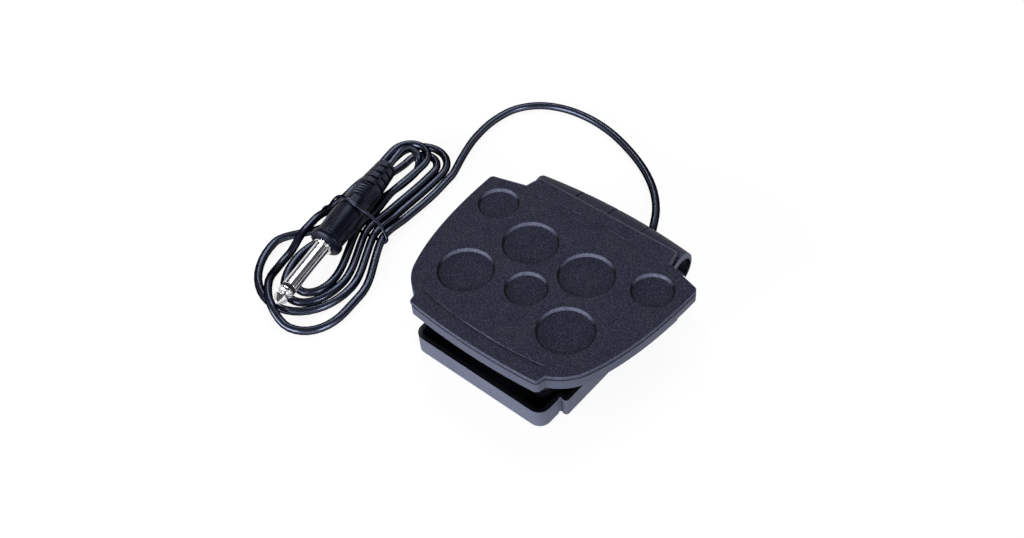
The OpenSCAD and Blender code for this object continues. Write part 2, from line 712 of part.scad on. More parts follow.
function hank_loop(i, legs, arcs) = let (
    above = i == 0 ? hank_start - [cord_d, 0] : [top_folds[i - 1][2], top_folds[i - 1][1]],
    right = [0, waist_right - hank_pitch * i],
    left = [0, waist_left + hank_pitch * i],
    low_r = low_at(i, 0),
    low_l = low_at(i, 1))
    concat(
        i == 0 ? [raised(hank_start, 0)] : [],
        [for (k = [0:legs - 1]) let (p = run_at(above, right, k / legs, 0))
            raised(p, i == 3 ? descend(p[0]) : 0)],
        [for (k = [0:legs - 1]) raised(run_at(right, low_r, k / legs, 0, i == 0 ? 1.3 : 1), 0)],
        [for (k = [0:arcs - 1]) low_at(i, k / arcs) + [0, 0, i == 0 ? over_fold(k / arcs) : 0]],
        [for (k = [0:legs - 1]) let (p = run_at(low_l, left, k / legs, 0, 1.3))
            raised(p, i == 0 ? over_run(p[0]) : i == 2 ? climb(p[0]) : 0)],
        i == 3 ? [] : [for (k = [0:legs - 1])
            let (p = run_at(left, [top_folds[i][2], top_folds[i][0]], k / legs, i < 2 ? 14 : 0))
            raised(p, i == 2 ? climb(p[0]) : 0)],
        i == 3 ? [] : [for (k = [0:arcs - 1]) top_at(i, k / arcs)]);

// The plug's axis, from the end of its tip to the end of its strain relief
plug_tip_at = [-54.7, 1.6, 9.6];
plug_end_at = [24.7, -4.4, 11.7];
plug_dir = unit(place(plug_end_at) - place(plug_tip_at));
plug_len = norm(place(plug_end_at) - place(plug_tip_at));

// The last run: up from the waist, over itself and back down into the plug
function last_run(m) = let (
    n = unit(plug_end_at - plug_tip_at),
    low = [35.5, 0.6, floor_z],
    high = plug_end_at + n * (35.5 - plug_end_at[0]) / n[0],
    mid = (low + high) / 2,
    half = (low - high) / 2)
    smooth_line(concat(
        [for (q = [[0, waist_left + 3 * hank_pitch], [9, -3.9], [18, -2.2], [27, -0.2]])
            raised(q, 0)],
        [for (t = [0:1 / 8:1]) mid + half * cos(180 * t) + [6.2 * sin(180 * t), 0, 0]],
        [plug_end_at + n * cord_d, plug_end_at]), m);

function hank_line(legs, arcs, m) =
    [for (p = concat([for (i = [0:loops - 1]) each hank_loop(i, legs, arcs)], last_run(m)))
        laid(place(p))];

cord_line = [for (p = smooth_line(concat(route,
    [place([hank_start[0] + 6.6, hank_start[1], floor_z]),
    place([hank_start[0] + 3.3, hank_start[1], floor_z]),
    place([hank_start[0], hank_start[1], floor_z])]), 2)) laid(p)];

// How far along a line each of its points lies
function along(p) = [for (i = 0, s = 0; i < len(p); i = i + 1,
    s = s + (i < len(p) ? norm(p[i] - p[i - 1]) : 0)) s];

function line_length(p) = let (s = along(p)) s[len(s) - 1];

// The least gap between points of a tube that lie more than apart mm from each other along it
function near_gap(p, d, apart) = let (s = along(p), n = len(p))
    min([for (i = [0:n - 1], j = [i + 1:n - 1]) if (s[j] - s[i] > apart) norm(p[j] - p[i])]) - d;

module cord() {
    echo(free_lead_length = line_length(cord_line));
    color([0.05, 0.05, 0.06]) tube(cord_line, cord_r, 8);
}

module cord_hank() {
    echo(hank_length = line_length(hank_line(12, 12, 6)));
    echo(hank_least_gap = near_gap(hank_line(12, 12, 6), cord_d, 16));
    color([0.05, 0.05, 0.06]) tube(hank_line(3, 7, 1), cord_r, 6);
}

module hank_tie() {
    u = 0;
    off = tie_d / 2 + tie_gap;
    strand_z = floor_z + lift(u);
    axis_at = plug_tip_at + (plug_end_at - plug_tip_at) * (u - plug_tip_at[0])
        / (plug_end_at[0] - plug_tip_at[0]);
    rounds = [[waist_right, strand_z, cord_r + off], [axis_at[1], axis_at[2], handle_r + off],
        [waist_left, strand_z, cord_r + off]];
    // Outward direction of the straight stretch from one round to the next, from 0 to 360
    function side(a, b) = let (d = [b[0] - a[0], b[1] - a[1]])
        (360 + atan2(d.y, d.x) - acos((a[2] - b[2]) / norm(d))) % 360;
    n1 = side(rounds[0], rounds[1]);
    n2 = side(rounds[1], rounds[2]);
    outline = concat(arc([rounds[0][0], rounds[0][1]], rounds[0][2], -90, n1, 5),
        arc([rounds[1][0], rounds[1][1]], rounds[1][2], n1, n2, 12),
        arc([rounds[2][0], rounds[2][1]], rounds[2][2], n2, 270, 6));
    color([0.06, 0.06, 0.07]) tube([for (q = outline) place([u, q.x, q.y])], tie_d / 2, 6,
        [cos(hank_angle), sin(hank_angle), 0], true);
}

// Plug pieces are turned shapes along the plug's axis, measured from its tip
bulge_start = 6;
bulge_end = 6.9;
sleeve_start = 8.4;
sleeve_end = 31;
handle_end = 57;

module on_plug() {
    translate(place(plug_tip_at))
        rotate([0, acos(plug_dir.z), atan2(plug_dir.y, plug_dir.x)]) children();
}

module plug_tip() {
    r = plug_d / 2;
    color([0.78, 0.78, 0.8]) on_plug() rotate_extrude($fn = 36) polygon([[0, 0], [0.6, 0],
        [r - 0.3, 3.1], [r - 1.2, 4], [r - 1.2, 4.9], [r, bulge_start], [r, bulge_end],
        [0, bulge_end]]);
}

module plug_insulator() {
    color([0.05, 0.05, 0.05]) on_plug() translate([0, 0, bulge_end])
        cylinder(h = sleeve_start - bulge_end, r = plug_d / 2);
}

module plug_sleeve() {
    color([0.78, 0.78, 0.8]) on_plug() {
        translate([0, 0, sleeve_start])
            cylinder(h = sleeve_end - sleeve_start, r = plug_d / 2);
        translate([0, 0, sleeve_end]) cylinder(h = 1.1, r = plug_d / 2 + 0.9);
    }
}

module plug_handle() {
    flange = handle_r + 0.7;
    color([0.06, 0.06, 0.08]) on_plug() difference() {
        rotate_extrude($fn = 12) polygon(concat([[0, sleeve_end + 1.1], [4.4, sleeve_end + 1.1]],
            arc([flange - 1.8, sleeve_end + 2.9], 1.8, -60, 0, 2),
            [[flange, sleeve_end + 4.6], [handle_r, sleeve_end + 5.6],
            [handle_r - 0.4, handle_end], [0, handle_end]]));
        translate([-handle_r - 0.5, -2.6, sleeve_end + 8]) cube([0.9, 5.2, 13]);
    }
}

module plug_relief() {
    fine = 5;
    ribs = 5;
    fine_step = 1.4;
    coarse_step = (plug_len - handle_end - fine * fine_step) / ribs;
    root = handle_r - 1.3;
    color([0.06, 0.06, 0.08]) on_plug() rotate_extrude($fn = 12) polygon(concat(
        [[0, handle_end]],
        [for (k = [0:fine - 1]) each let (z = handle_end + fine_step * k)
            [[root, z], [root + 0.5, z + 0.35], [root + 0.5, z + 0.9], [root, z + 1.2]]],
        [for (k = [0:ribs - 1]) each
            let (z = handle_end + fine * fine_step + coarse_step * k, r = root + 0.1 - 0.2 * k)
            [[r - 0.9, z], [r - 0.9, z + 0.6], [r, z + 0.8], [r, z + coarse_step - 0.1]]],
        [[0, plug_len]]));
}

base_tray();
rubber_feet();
travel_bumpers();
hinge_pin();
pin_clips();
pedal_plate();
tread_pad();
return_spring();
switch_board();
board_screws();
switch_case();
switch_plunger();
contact_bridge();
switch_contacts();
switch_spring();
lead_wires();
inner_lead();
cord_clamp();
clamp_screws();
cord_gland();
cord();
cord_hank();
hank_tie();
plug_relief();
plug_handle();
plug_sleeve();
plug_insulator();
plug_tip();
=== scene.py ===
import math

import bpy
from mathutils import Matrix, Vector
from mathutils.geometry import tessellate_polygon


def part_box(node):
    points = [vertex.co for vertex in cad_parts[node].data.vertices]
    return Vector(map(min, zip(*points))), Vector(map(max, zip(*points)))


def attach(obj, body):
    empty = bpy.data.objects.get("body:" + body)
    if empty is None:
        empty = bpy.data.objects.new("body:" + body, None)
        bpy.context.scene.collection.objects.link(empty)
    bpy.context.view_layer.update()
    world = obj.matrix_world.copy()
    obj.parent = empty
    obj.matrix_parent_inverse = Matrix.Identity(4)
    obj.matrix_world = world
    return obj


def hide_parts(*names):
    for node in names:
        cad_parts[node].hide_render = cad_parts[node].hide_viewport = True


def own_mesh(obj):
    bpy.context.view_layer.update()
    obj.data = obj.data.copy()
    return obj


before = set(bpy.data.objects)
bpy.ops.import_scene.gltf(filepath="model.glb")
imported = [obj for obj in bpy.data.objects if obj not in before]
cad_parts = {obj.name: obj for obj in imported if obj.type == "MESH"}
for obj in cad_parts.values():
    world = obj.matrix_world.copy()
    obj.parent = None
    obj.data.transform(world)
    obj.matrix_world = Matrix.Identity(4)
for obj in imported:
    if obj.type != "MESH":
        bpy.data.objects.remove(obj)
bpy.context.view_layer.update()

MM = 0.001

# ---------------------------------------------------------------- camera


CAMERA_AT = Vector((0.198, -0.2222, 0.3565))
LENS_LENGTH, SENSOR_WIDTH = 43.26, 36
NEAREST, FARTHEST = 0.01, 20


def make_camera():
    """The camera that sees the object as the photograph does, taken to be 1024 x 538."""
    right = Vector((0.7599, 0.6475, -0.0576))
    down = Vector((0.4513, -0.5892, -0.6702))
    forward = Vector((-0.4679, 0.4832, -0.74))
    data = bpy.data.cameras.new("camera")
    data.lens = LENS_LENGTH
    data.sensor_width = SENSOR_WIDTH
    data.sensor_fit = "HORIZONTAL"
    data.clip_start, data.clip_end = NEAREST, FARTHEST
    camera = bpy.data.objects.new("camera", data)
    camera.matrix_world = Matrix.LocRotScale(
        CAMERA_AT, Matrix((right, -down, -forward)).transposed().to_quaternion(), None)
    bpy.context.scene.collection.objects.link(camera)
    bpy.context.scene.camera = camera


make_camera()

# ---------------------------------------------------------------- shared shapes, in millimetres

PEDAL_W, PEDAL_D, PEDAL_H = 96.6, 85.6, 27.5
FRONT_W, FRONT_BOW, WING_BACK = 59, 1.6, 67
SPINE_W, SPINE_R, SPINE_Z = 68, 8.5, 18
FRONT_Y = -PEDAL_D / 2 + FRONT_BOW
TREAD_EDGE, SEAM_H, SEAM_D = 1.1, 1.1, 0.6
SEAM_TOP = PEDAL_H - TREAD_EDGE
DECK_TOP = SEAM_TOP - SEAM_H
DECK_UNDER = DECK_TOP - 1.8
SPINE_Y = PEDAL_D / 2 - SPINE_R
AXIS_Y, AXIS_Z = SPINE_Y + 1.9, SPINE_Z - 1
BORE_R = SPINE_R - 2.85
CORD_R = 1.65
FLOOR_Z = CORD_R + 0.01


def mix(a, b, t):
    """The value a share t of the way from a to b."""
    return a + (b - a) * t


def ease(x):
    """A smooth step from 0 to 1 as x goes from 0 to 1."""
    t = min(1, max(0, x))
    return t * t * (3 - 2 * t)


def mesh_piece(name, points, faces):
    """A smooth-shaded mesh object from points in millimetres."""
    mesh = bpy.data.meshes.new(name)
    mesh.from_pydata([Vector(p) * MM for p in points], [], faces)
    mesh.validate()
    mesh.polygons.foreach_set("use_smooth", [True] * len(mesh.polygons))
    piece = bpy.data.objects.new(name, mesh)
    bpy.context.scene.collection.objects.link(piece)
    return piece


def smooth_line(points, steps):
    """Centripetal Catmull-Rom line through points, with steps to each stretch."""
    ends = [2 * points[0] - points[1], *points, 2 * points[-1] - points[-2]]
    line = []
    for p0, p1, p2, p3 in zip(ends, ends[1:], ends[2:], ends[3:]):
        t1 = math.sqrt((p1 - p0).length)
        t2 = t1 + math.sqrt((p2 - p1).length)
        t3 = t2 + math.sqrt((p3 - p2).length)
        for k in range(steps):
            t = t1 + (t2 - t1) * k / steps
            a1 = (t1 - t) / t1 * p0 + t / t1 * p1
            a2 = (t2 - t) / (t2 - t1) * p1 + (t - t1) / (t2 - t1) * p2
            a3 = (t3 - t) / (t3 - t2) * p2 + (t - t2) / (t3 - t2) * p3
            b1 = (t2 - t) / t2 * a1 + t / t2 * a2
            b2 = (t3 - t) / (t3 - t1) * a2 + (t - t1) / (t3 - t1) * a3
            line.append((t2 - t) / (t2 - t1) * b1 + (t - t1) / (t2 - t1) * b2)
    return line + [points[-1]]


def heading(line, i, closed=False):
    """The way that a line runs at its point i."""
    n = len(line)
    before = line[(i - 1) % n] if closed else line[max(i - 1, 0)]
    after = line[(i + 1) % n] if closed else line[min(i + 1, n - 1)]
    return (after - before).normalized()


def hose_faces(rings, sides, closed=False):
    """The faces that join a hose's rings, with a cap at each end unless it is closed."""
    faces = []
    for i in range(rings if closed else rings - 1):
        a, b = i * sides, (i + 1) % rings * sides
        for k in range(sides):
            faces.append((a + k, a + (k + 1) % sides, b + (k + 1) % sides, b + k))
    if not closed:
        faces.append(tuple(range(sides - 1, -1, -1)))
        faces.append(tuple(range((rings - 1) * sides, rings * sides)))
    return faces


def tube(name, line, radius, sides):
    """A round tube along a line, its rings turned as little as possible."""
    heads = [heading(line, i) for i in range(len(line))]
    side = heads[0].orthogonal().normalized()
    points = []
    for i, (centre, head) in enumerate(zip(line, heads)):
        if i:
            side = (heads[i - 1].rotation_difference(head) @ side).normalized()
        side = (side - head * side.dot(head)).normalized()
        other = head.cross(side)
        for k in range(sides):
            a = 2 * math.pi * k / sides
            points.append(centre + radius * (math.cos(a) * side + math.sin(a) * other))
    return mesh_piece(name, points, hose_faces(len(line), sides))


# ---------------------------------------------------------------- the lead

HANK_X, HANK_Y = -90, FRONT_Y + 32
HANK_ANGLE = math.radians(98)


def place(p):
    """A point of the hank: u up it from the tie, v to its right, and its height."""
    u, v, z = p
    c, s = math.cos(HANK_ANGLE), math.sin(HANK_ANGLE)
    return Vector((HANK_X + u * c + v * s, HANK_Y + u * s - v * c, z))


EXIT = Vector((7.6, 42.8, 5.2))
ROUTE = [EXIT, (7.6, 44.5, 5.2), (7.6, 46.2, 5.2), (7.4, 50.8, 3.8), (6.3, 55.8, 2.3),
         (4, 60.6, FLOOR_Z), (-1, 69.5, FLOOR_Z), (-8.5, 78, FLOOR_Z), (-18.5, 85.4, FLOOR_Z),
         (-31, 91.5, FLOOR_Z), (-45, 96, FLOOR_Z), (-58, 97.4, FLOOR_Z), (-70, 95.8, FLOOR_Z),
         (-80, 91, FLOOR_Z), (-87, 82.6, FLOOR_Z), (-89.6, 71, FLOOR_Z), (-88.6, 58, FLOOR_Z),
         (-85.5, 47, FLOOR_Z)]
HANK_START = (36, 15)
CORD_D = 2 * CORD_R
HANK_PITCH = 4.06
WAIST_RIGHT, WAIST_LEFT = 11.8, -16.7
TIE_LIFT = 1.4
LAYER = CORD_D + 0.5
ROUTE_STEPS, RUN_STEPS, FOLD_STEPS = 8, 18, 22
# Lower folds: right side, left side, depth, place along the hank, lean
LOW_FOLDS = [(21.8, -16.4, 22, -34.5, 0.3), (16.3, -25.8, 23.9, -27.5, 0.1),
             (11.8, -12.4, 18.2, -27.5, 0.12), (7.7, -8.2, 11, -29.4, 0.12)]
# Upper folds: left side, right side, place along the hank, height, layer
TOP_FOLDS = [(-12.3, 11, 41, 11, 0), (-6.3, 7.1, 40.3, 6.8, 0), (-13, 3.4, 39.2, 8.2, 1)]
PLUG_TIP_AT = Vector((-54.7, 1.6, 9.6))
PLUG_END_AT = Vector((24.7, -4.4, 11.7))


def low_at(i, t):
    """A place on lower fold i, from its right side at 0 to its left at 1."""
    right, left, depth, u, lean = LOW_FOLDS[i]
    mid = (right + left) / 2
    v = mid + (right - left) / 2 * math.cos(math.pi * t)
    return (u - lean * (v - mid) - depth * math.sin(math.pi * t), v, FLOOR_Z)


def top_at(i, t):
    """A place on upper fold i, from its left side at 0 to its right at 1."""
    left, right, u, height, layer = TOP_FOLDS[i]
    return (u + height * math.sin(math.pi * t),
            (left + right) / 2 - (right - left) / 2 * math.cos(math.pi * t),
            FLOOR_Z + layer * LAYER)


def run_at(a, b, t, late, haste=1):
    """A run between two places, drawn in at the waist.

    It starts to move across at late, and with haste above 1 it ends its move early."""
    u = mix(a[0], b[0], t)
    share = haste * t if late == 0 else (u - late) / (b[0] - late)
    return (u, mix(a[1], b[1], ease(share)))


def hump(x, a, b, c, d):
    """A hump that rises from a to b and falls from c to d, 0 to 1 high."""
    return ease((x - a) / (b - a)) - ease((x - c) / (d - c))


def over_fold(t):
    """Height of the first loop's fold, where it lies over the second's left side."""
    return LAYER * hump(t, 0.42, 0.62, 0.74, 0.94)


def over_run(u):
    """Height of the first loop's run up, where it passes back over the second's."""
    return LAYER * hump(u, -28.5, -16.4, -10.5, 1.5)


def raised(p, more):
    """A place on a run, lifted over the tie."""
    return (p[0], p[1], FLOOR_Z + TIE_LIFT * (1 - ease(abs(p[0]) / 12)) + more)


def climb(u):
    """Height of the third loop's run up, which rises on to the second layer."""
    return LAYER * ease((u + 4) / 14)


def descend(u):
    """Height of the fourth loop's run down, which comes off the second layer."""
    return LAYER * ease((u - 6) / 14)


def hank_loop(i):
    """One loop of the hank: down its right side, round the lower fold, up its left and over."""
    if i == 0:
        above = (HANK_START[0] - CORD_D, HANK_START[1])
        line = [raised(HANK_START, 0)]
    else:
        above = (TOP_FOLDS[i - 1][2], TOP_FOLDS[i - 1][1])
        line = []
    right = (0, WAIST_RIGHT - HANK_PITCH * i)
    left = (0, WAIST_LEFT + HANK_PITCH * i)
    steps = [k / RUN_STEPS for k in range(RUN_STEPS)]
    arcs = [k / FOLD_STEPS for k in range(FOLD_STEPS)]
    for t in steps:
        p = run_at(above, right, t, 0)
        line.append(raised(p, descend(p[0]) if i == 3 else 0))
    line += [raised(run_at(right, low_at(i, 0), t, 0, 1.3 if i == 0 else 1), 0) for t in steps]
    for t in arcs:
        u, v, z = low_at(i, t)
        line.append((u, v, z + (over_fold(t) if i == 0 else 0)))
    for t in steps:
        p = run_at(low_at(i, 1), left, t, 0, 1.3)
        line.append(raised(p, over_run(p[0]) if i == 0 else climb(p[0]) if i == 2 else 0))
    if i < len(TOP_FOLDS):
        top = (TOP_FOLDS[i][2], TOP_FOLDS[i][0])
        for t in steps:
            p = run_at(left, top, t, 14 if i < 2 else 0)
            line.append(raised(p, climb(p[0]) if i == 2 else 0))
        line += [top_at(i, t) for t in arcs]
    return line


def last_run():
    """Up from the waist, over itself and back down into the plug."""
    axis = (PLUG_END_AT - PLUG_TIP_AT).normalized()
    low = Vector((35.5, 0.6, FLOOR_Z))
    high = PLUG_END_AT + axis * (low.x - PLUG_END_AT.x) / axis.x
    mid, half = (low + high) / 2, (low - high) / 2
    start = [(0, WAIST_LEFT + 3 * HANK_PITCH), (9, -3.9), (18, -2.2), (27, -0.2)]
    points = [Vector(raised(q, 0)) for q in start]
    for k in range(9):
        a = math.pi * k / 8
        points.append(mid + half * math.cos(a) + Vector((6.2 * math.sin(a), 0, 0)))
    points += [PLUG_END_AT + axis * CORD_D, PLUG_END_AT]
    return smooth_line(points, ROUTE_STEPS)


def laid(p):
    """A point of the lead, kept from sinking into the floor."""
    return Vector((p[0], p[1], max(p[2], FLOOR_Z)))


def lead_line():
    """The whole lead, from the gland to the plug's strain relief."""
    approach = [place((HANK_START[0] + d, HANK_START[1], FLOOR_Z)) for d in (6.6, 3.3, 0)]
    line = [laid(p) for p in smooth_line([Vector(p) for p in ROUTE] + approach,
                                          ROUTE_STEPS)]
    hank = [p for i in range(len(LOW_FOLDS)) for p in hank_loop(i)] + last_run()
    hank = [laid(place(p)) for p in hank]
    for p in hank:
        if (p - line[-1]).length > 0.05:
            line.append(p)
    return line


LEAD_LINE = lead_line()

# ---------------------------------------------------------------- materials


def add_node(tree, kind, inputs=None, **settings):
    """A new node, whose inputs are given as values or as the sockets that feed them."""
    node = tree.nodes.new(kind)
    for key, value in settings.items():
        setattr(node, key, value)
    for key, value in (inputs or {}).items():
        if isinstance(value, bpy.types.NodeSocket):
            tree.links.new(value, node.inputs[key])
        else:
            node.inputs[key].default_value = value
    return node


class Nodes:
    """A material's node tree, with short ways to add what the surfaces here share."""

    def __init__(self, name):
        self.material = bpy.data.materials.new(name)
        self.material.use_nodes = True
        self.tree = self.material.node_tree
        self.shader = self.tree.nodes["Principled BSDF"]
        self.place = self.tree.nodes.new("ShaderNodeTexCoord").outputs["Object"]
        self.facing = self.tree.nodes.new("ShaderNodeNewGeometry").outputs["Normal"]

    def add(self, kind, inputs=None, **settings):
        return add_node(self.tree, kind, inputs, **settings)

    def noise(self, size, detail=2.0, rough=0.5):
        """Noise whose features are about size millimetres across, from 0 to 1."""
        node = self.add("ShaderNodeTexNoise", {
            "Vector": self.place, "Scale": 1 / (size * MM), "Detail": detail,
            "Roughness": rough})
        return node.outputs["Fac"]

    def cells(self, size):
        """Distance to the middle of cells that are about size millimetres across."""
        node = self.add("ShaderNodeTexVoronoi", {
            "Vector": self.place, "Scale": 1 / (size * MM)})
        return node.outputs["Distance"]

    def span(self, value, low, high, out_low=0.0, out_high=1.0):
        """A value's place between low and high, told as one between out_low and out_high."""
        node = self.add("ShaderNodeMapRange", {
            "Value": value, "From Min": low, "From Max": high, "To Min": out_low,
            "To Max": out_high})
        return node.outputs["Result"]

    def math(self, operation, a, b):
        return self.add("ShaderNodeMath", {0: a, 1: b}, operation=operation).outputs[0]

    def colour(self, factor, a, b):
        """Mixes two fixed colours."""
        node = self.add("ShaderNodeMix", {0: factor, 6: (*a, 1), 7: (*b, 1)}, data_type="RGBA")
        return node.outputs[2]

    def blend(self, factor, a, b):
        """Mixes two colour sockets."""
        node = self.add("ShaderNodeMix", {0: factor, 6: a, 7: b}, data_type="RGBA")
        return node.outputs[2]

    def bump(self, height, depth):
        """A relief of depth millimetres."""
        node = self.add("ShaderNodeBump", {
            "Height": height, "Distance": depth * MM, "Strength": 1.0})
        return node.outputs["Normal"]

    def axes(self, vector):
        """The x, y and z of a vector."""
        return self.add("ShaderNodeSeparateXYZ", {0: vector}).outputs

    def dot(self, a, b):
        node = self.add("ShaderNodeVectorMath", {0: a, 1: b}, operation="DOT_PRODUCT")
        return node.outputs["Value"]

    def arm(self, centre, keep):
        """The way here from a point, along the axes that keep marks."""
        away = self.add("ShaderNodeVectorMath", {0: self.place, 1: Vector(centre) * MM},
                        operation="SUBTRACT").outputs[0]
        return self.add("ShaderNodeVectorMath", {0: away, 1: keep},
                        operation="MULTIPLY").outputs[0]

    def length(self, vector):
        node = self.add("ShaderNodeVectorMath", {0: vector}, operation="LENGTH")
        return node.outputs["Value"]

    def gloss(self, middle, edge, near=0.25, far=0.75):
        """A gloss that is strongest where the face is seen squarely."""
        seen = self.add("ShaderNodeLayerWeight", {"Blend": 0.5}).outputs["Facing"]
        return self.span(seen, near, far, middle, edge)

    def edges(self, radius):
        """About 1 on convex or concave edges narrower than radius millimetres, else 0."""
        bent = self.add("ShaderNodeBevel", {"Radius": radius * MM}, samples=6).outputs[0]
        return self.span(self.dot(bent, self.facing), 0.98, 0.8)

    def finish(self, colour, rough, normal, **more):
        """Feeds the shader; more names its other inputs, with a low line for each space."""
        inputs = {"Base_Color": colour, "Roughness": rough, "Normal": normal, **more}
        for key, value in inputs.items():
            socket = self.shader.inputs[key.replace("_", " ")]
            if isinstance(value, bpy.types.NodeSocket):
                self.tree.links.new(value, socket)
            else:
                socket.default_value = value
        return self.material


# Painted shade: near-black colours for hollows, undersides and recess walls where shade falls
SHADE_DEEPEST, SHADE_DEEP = (0.003, 0.003, 0.004), (0.006, 0.006, 0.009)
TREAD_DARK, TREAD_LIGHT = (0.0105, 0.0115, 0.029), (0.014, 0.0152, 0.035)
TREAD_SPECK, TREAD_SPECK_DULL = (0.064, 0.066, 0.12), (0.062, 0.066, 0.1)
# Painted shade: the recess floors, darker than the tread's top
RECESS_FLOOR_SHADE, RECESS_FLOOR_SHADE_SPECK = (0.0075, 0.0083, 0.0235), (0.056, 0.058, 0.108)
# Painted shade: recess walls that turn away from the front
RECESS_WALL_SHADE = (0.004, 0.004, 0.007)
# Painted highlight: the paler colours of steep faces
SHEEN_DULL, SHEEN_BRIGHT = (0.12, 0.13, 0.19), (0.19, 0.2, 0.275)
RECESS_SHEEN_GAIN = 1.35
COOL_SHEEN, LEAD_SHEEN = (0.7, 0.78, 1, 1), (0.62, 0.7, 1, 1)
LEAD_IOR = 1.75
TRAY_TOP = 8.9
TREAD_REAR_FROM, TREAD_REAR_TO = 25, 28
# Half width, front and back of the box painted in shade in the tray, and of the one under the plate
TRAY_HOLLOW = (28.5, FRONT_Y + 2.6, 38.5)
PLATE_HOLLOW = (27.5, FRONT_Y + 2.2, 24)


def within(n, half, front, back):
    """1 inside a box about the middle, whatever the height."""
    at = n.axes(n.place)
    aside = n.math("LESS_THAN", n.math("ABSOLUTE", at["X"], 0), half * MM)
    behind = n.math("GREATER_THAN", at["Y"], front * MM)
    before = n.math("LESS_THAN", at["Y"], back * MM)
    return n.math("MULTIPLY", n.math("MULTIPLY", aside, behind), before)


def tray_shade(n):
    """The tray's rim, its inner faces, what stands in it and the box in its middle, marked for
    painted shade.
    """
    inner = n.span(n.dot(n.arm((0, 0, 0), (1, 1, 0)), n.facing), 0, -MM)
    rim = n.span(n.axes(n.facing)["Z"], 0.5, 0.8)
    ears = n.span(n.axes(n.place)["Z"], (TRAY_TOP + 0.3) * MM, (TRAY_TOP + 0.8) * MM)
    painted_shade = n.math("MAXIMUM", n.math("MAXIMUM", inner, rim), ears)
    return n.math("MAXIMUM", painted_shade, within(n, *TRAY_HOLLOW))


def spine_top_shade(n):
    """The top of the spine, behind the tread: its faces that look up, marked for painted shade."""
    up = n.span(n.axes(n.facing)["Z"], 0.1, 0.45)
    behind = n.span(n.axes(n.place)["Y"], TREAD_REAR_FROM * MM, TREAD_REAR_TO * MM)
    return n.math("MULTIPLY", up, behind)


def plate_shade(n):
    """The underside of the plate and the bore of its spine, marked for painted shade."""
    reach = n.length(n.arm((0, AXIS_Y, AXIS_Z), (0, 1, 1)))
    bore = n.span(reach, (BORE_R + 0.4) * MM, (BORE_R + 0.15) * MM)
    low = n.math("LESS_THAN", n.axes(n.place)["Z"], DECK_UNDER * MM)
    under = n.math("MULTIPLY", low, within(n, *PLATE_HOLLOW))
    return n.math("MAXIMUM", bore, under)


def moulded(name, dark, light, rough, grain=0.5, grain_depth=0.012, wear_and_sheen=0.02, painted_shade=None,
            top=None, gloss=0.4):
    """Moulded plastic: cloudy colour, fine spark-eroded grain, edges painted lighter: part wear,
    part highlight.

    What the shade mask marks is painted near-black as shade; what the top mask marks is painted
    tread-dark as shade on faces that look up, against walls painted pale as light."""
    n = Nodes(name)
    cloud = n.span(n.noise(14, 3), 0.3, 0.7)
    fine = n.noise(grain, 2.5, 0.6)
    mottle = n.span(fine, 0.35, 0.68, 0.87, 1.15)
    base = n.add("ShaderNodeVectorMath", {0: n.colour(cloud, dark, light), 1: mottle},
                 operation="MULTIPLY").outputs[0]
    # Painted shade: the faces that the top mask marks get the tread's dark
    if top:
        base = n.blend(top(n), base, n.colour(n.span(fine, 0.45, 0.9), TREAD_DARK, TREAD_SPECK))
    # Edges painted lighter: part wear, part painted highlight
    lit_edge = n.math("MULTIPLY", n.edges(0.45), n.span(n.noise(2.2, 3), 0.35, 0.75))
    lighter = tuple(c + wear_and_sheen for c in light)
    colour = n.blend(lit_edge, base, n.colour(fine, light, lighter))
    # Painted shade: near-black where the shade mask marks
    if painted_shade:
        colour = n.blend(painted_shade(n), colour, n.colour(cloud, SHADE_DEEPEST, SHADE_DEEP))
    speck = n.span(n.noise(3.5, 4, 0.65), 0.3, 0.7, rough - 0.05, rough + 0.07)
    return n.finish(colour, speck, n.bump(fine, grain_depth),
                    Specular_IOR_Level=n.gloss(gloss, 0.04), Specular_Tint=COOL_SHEEN)


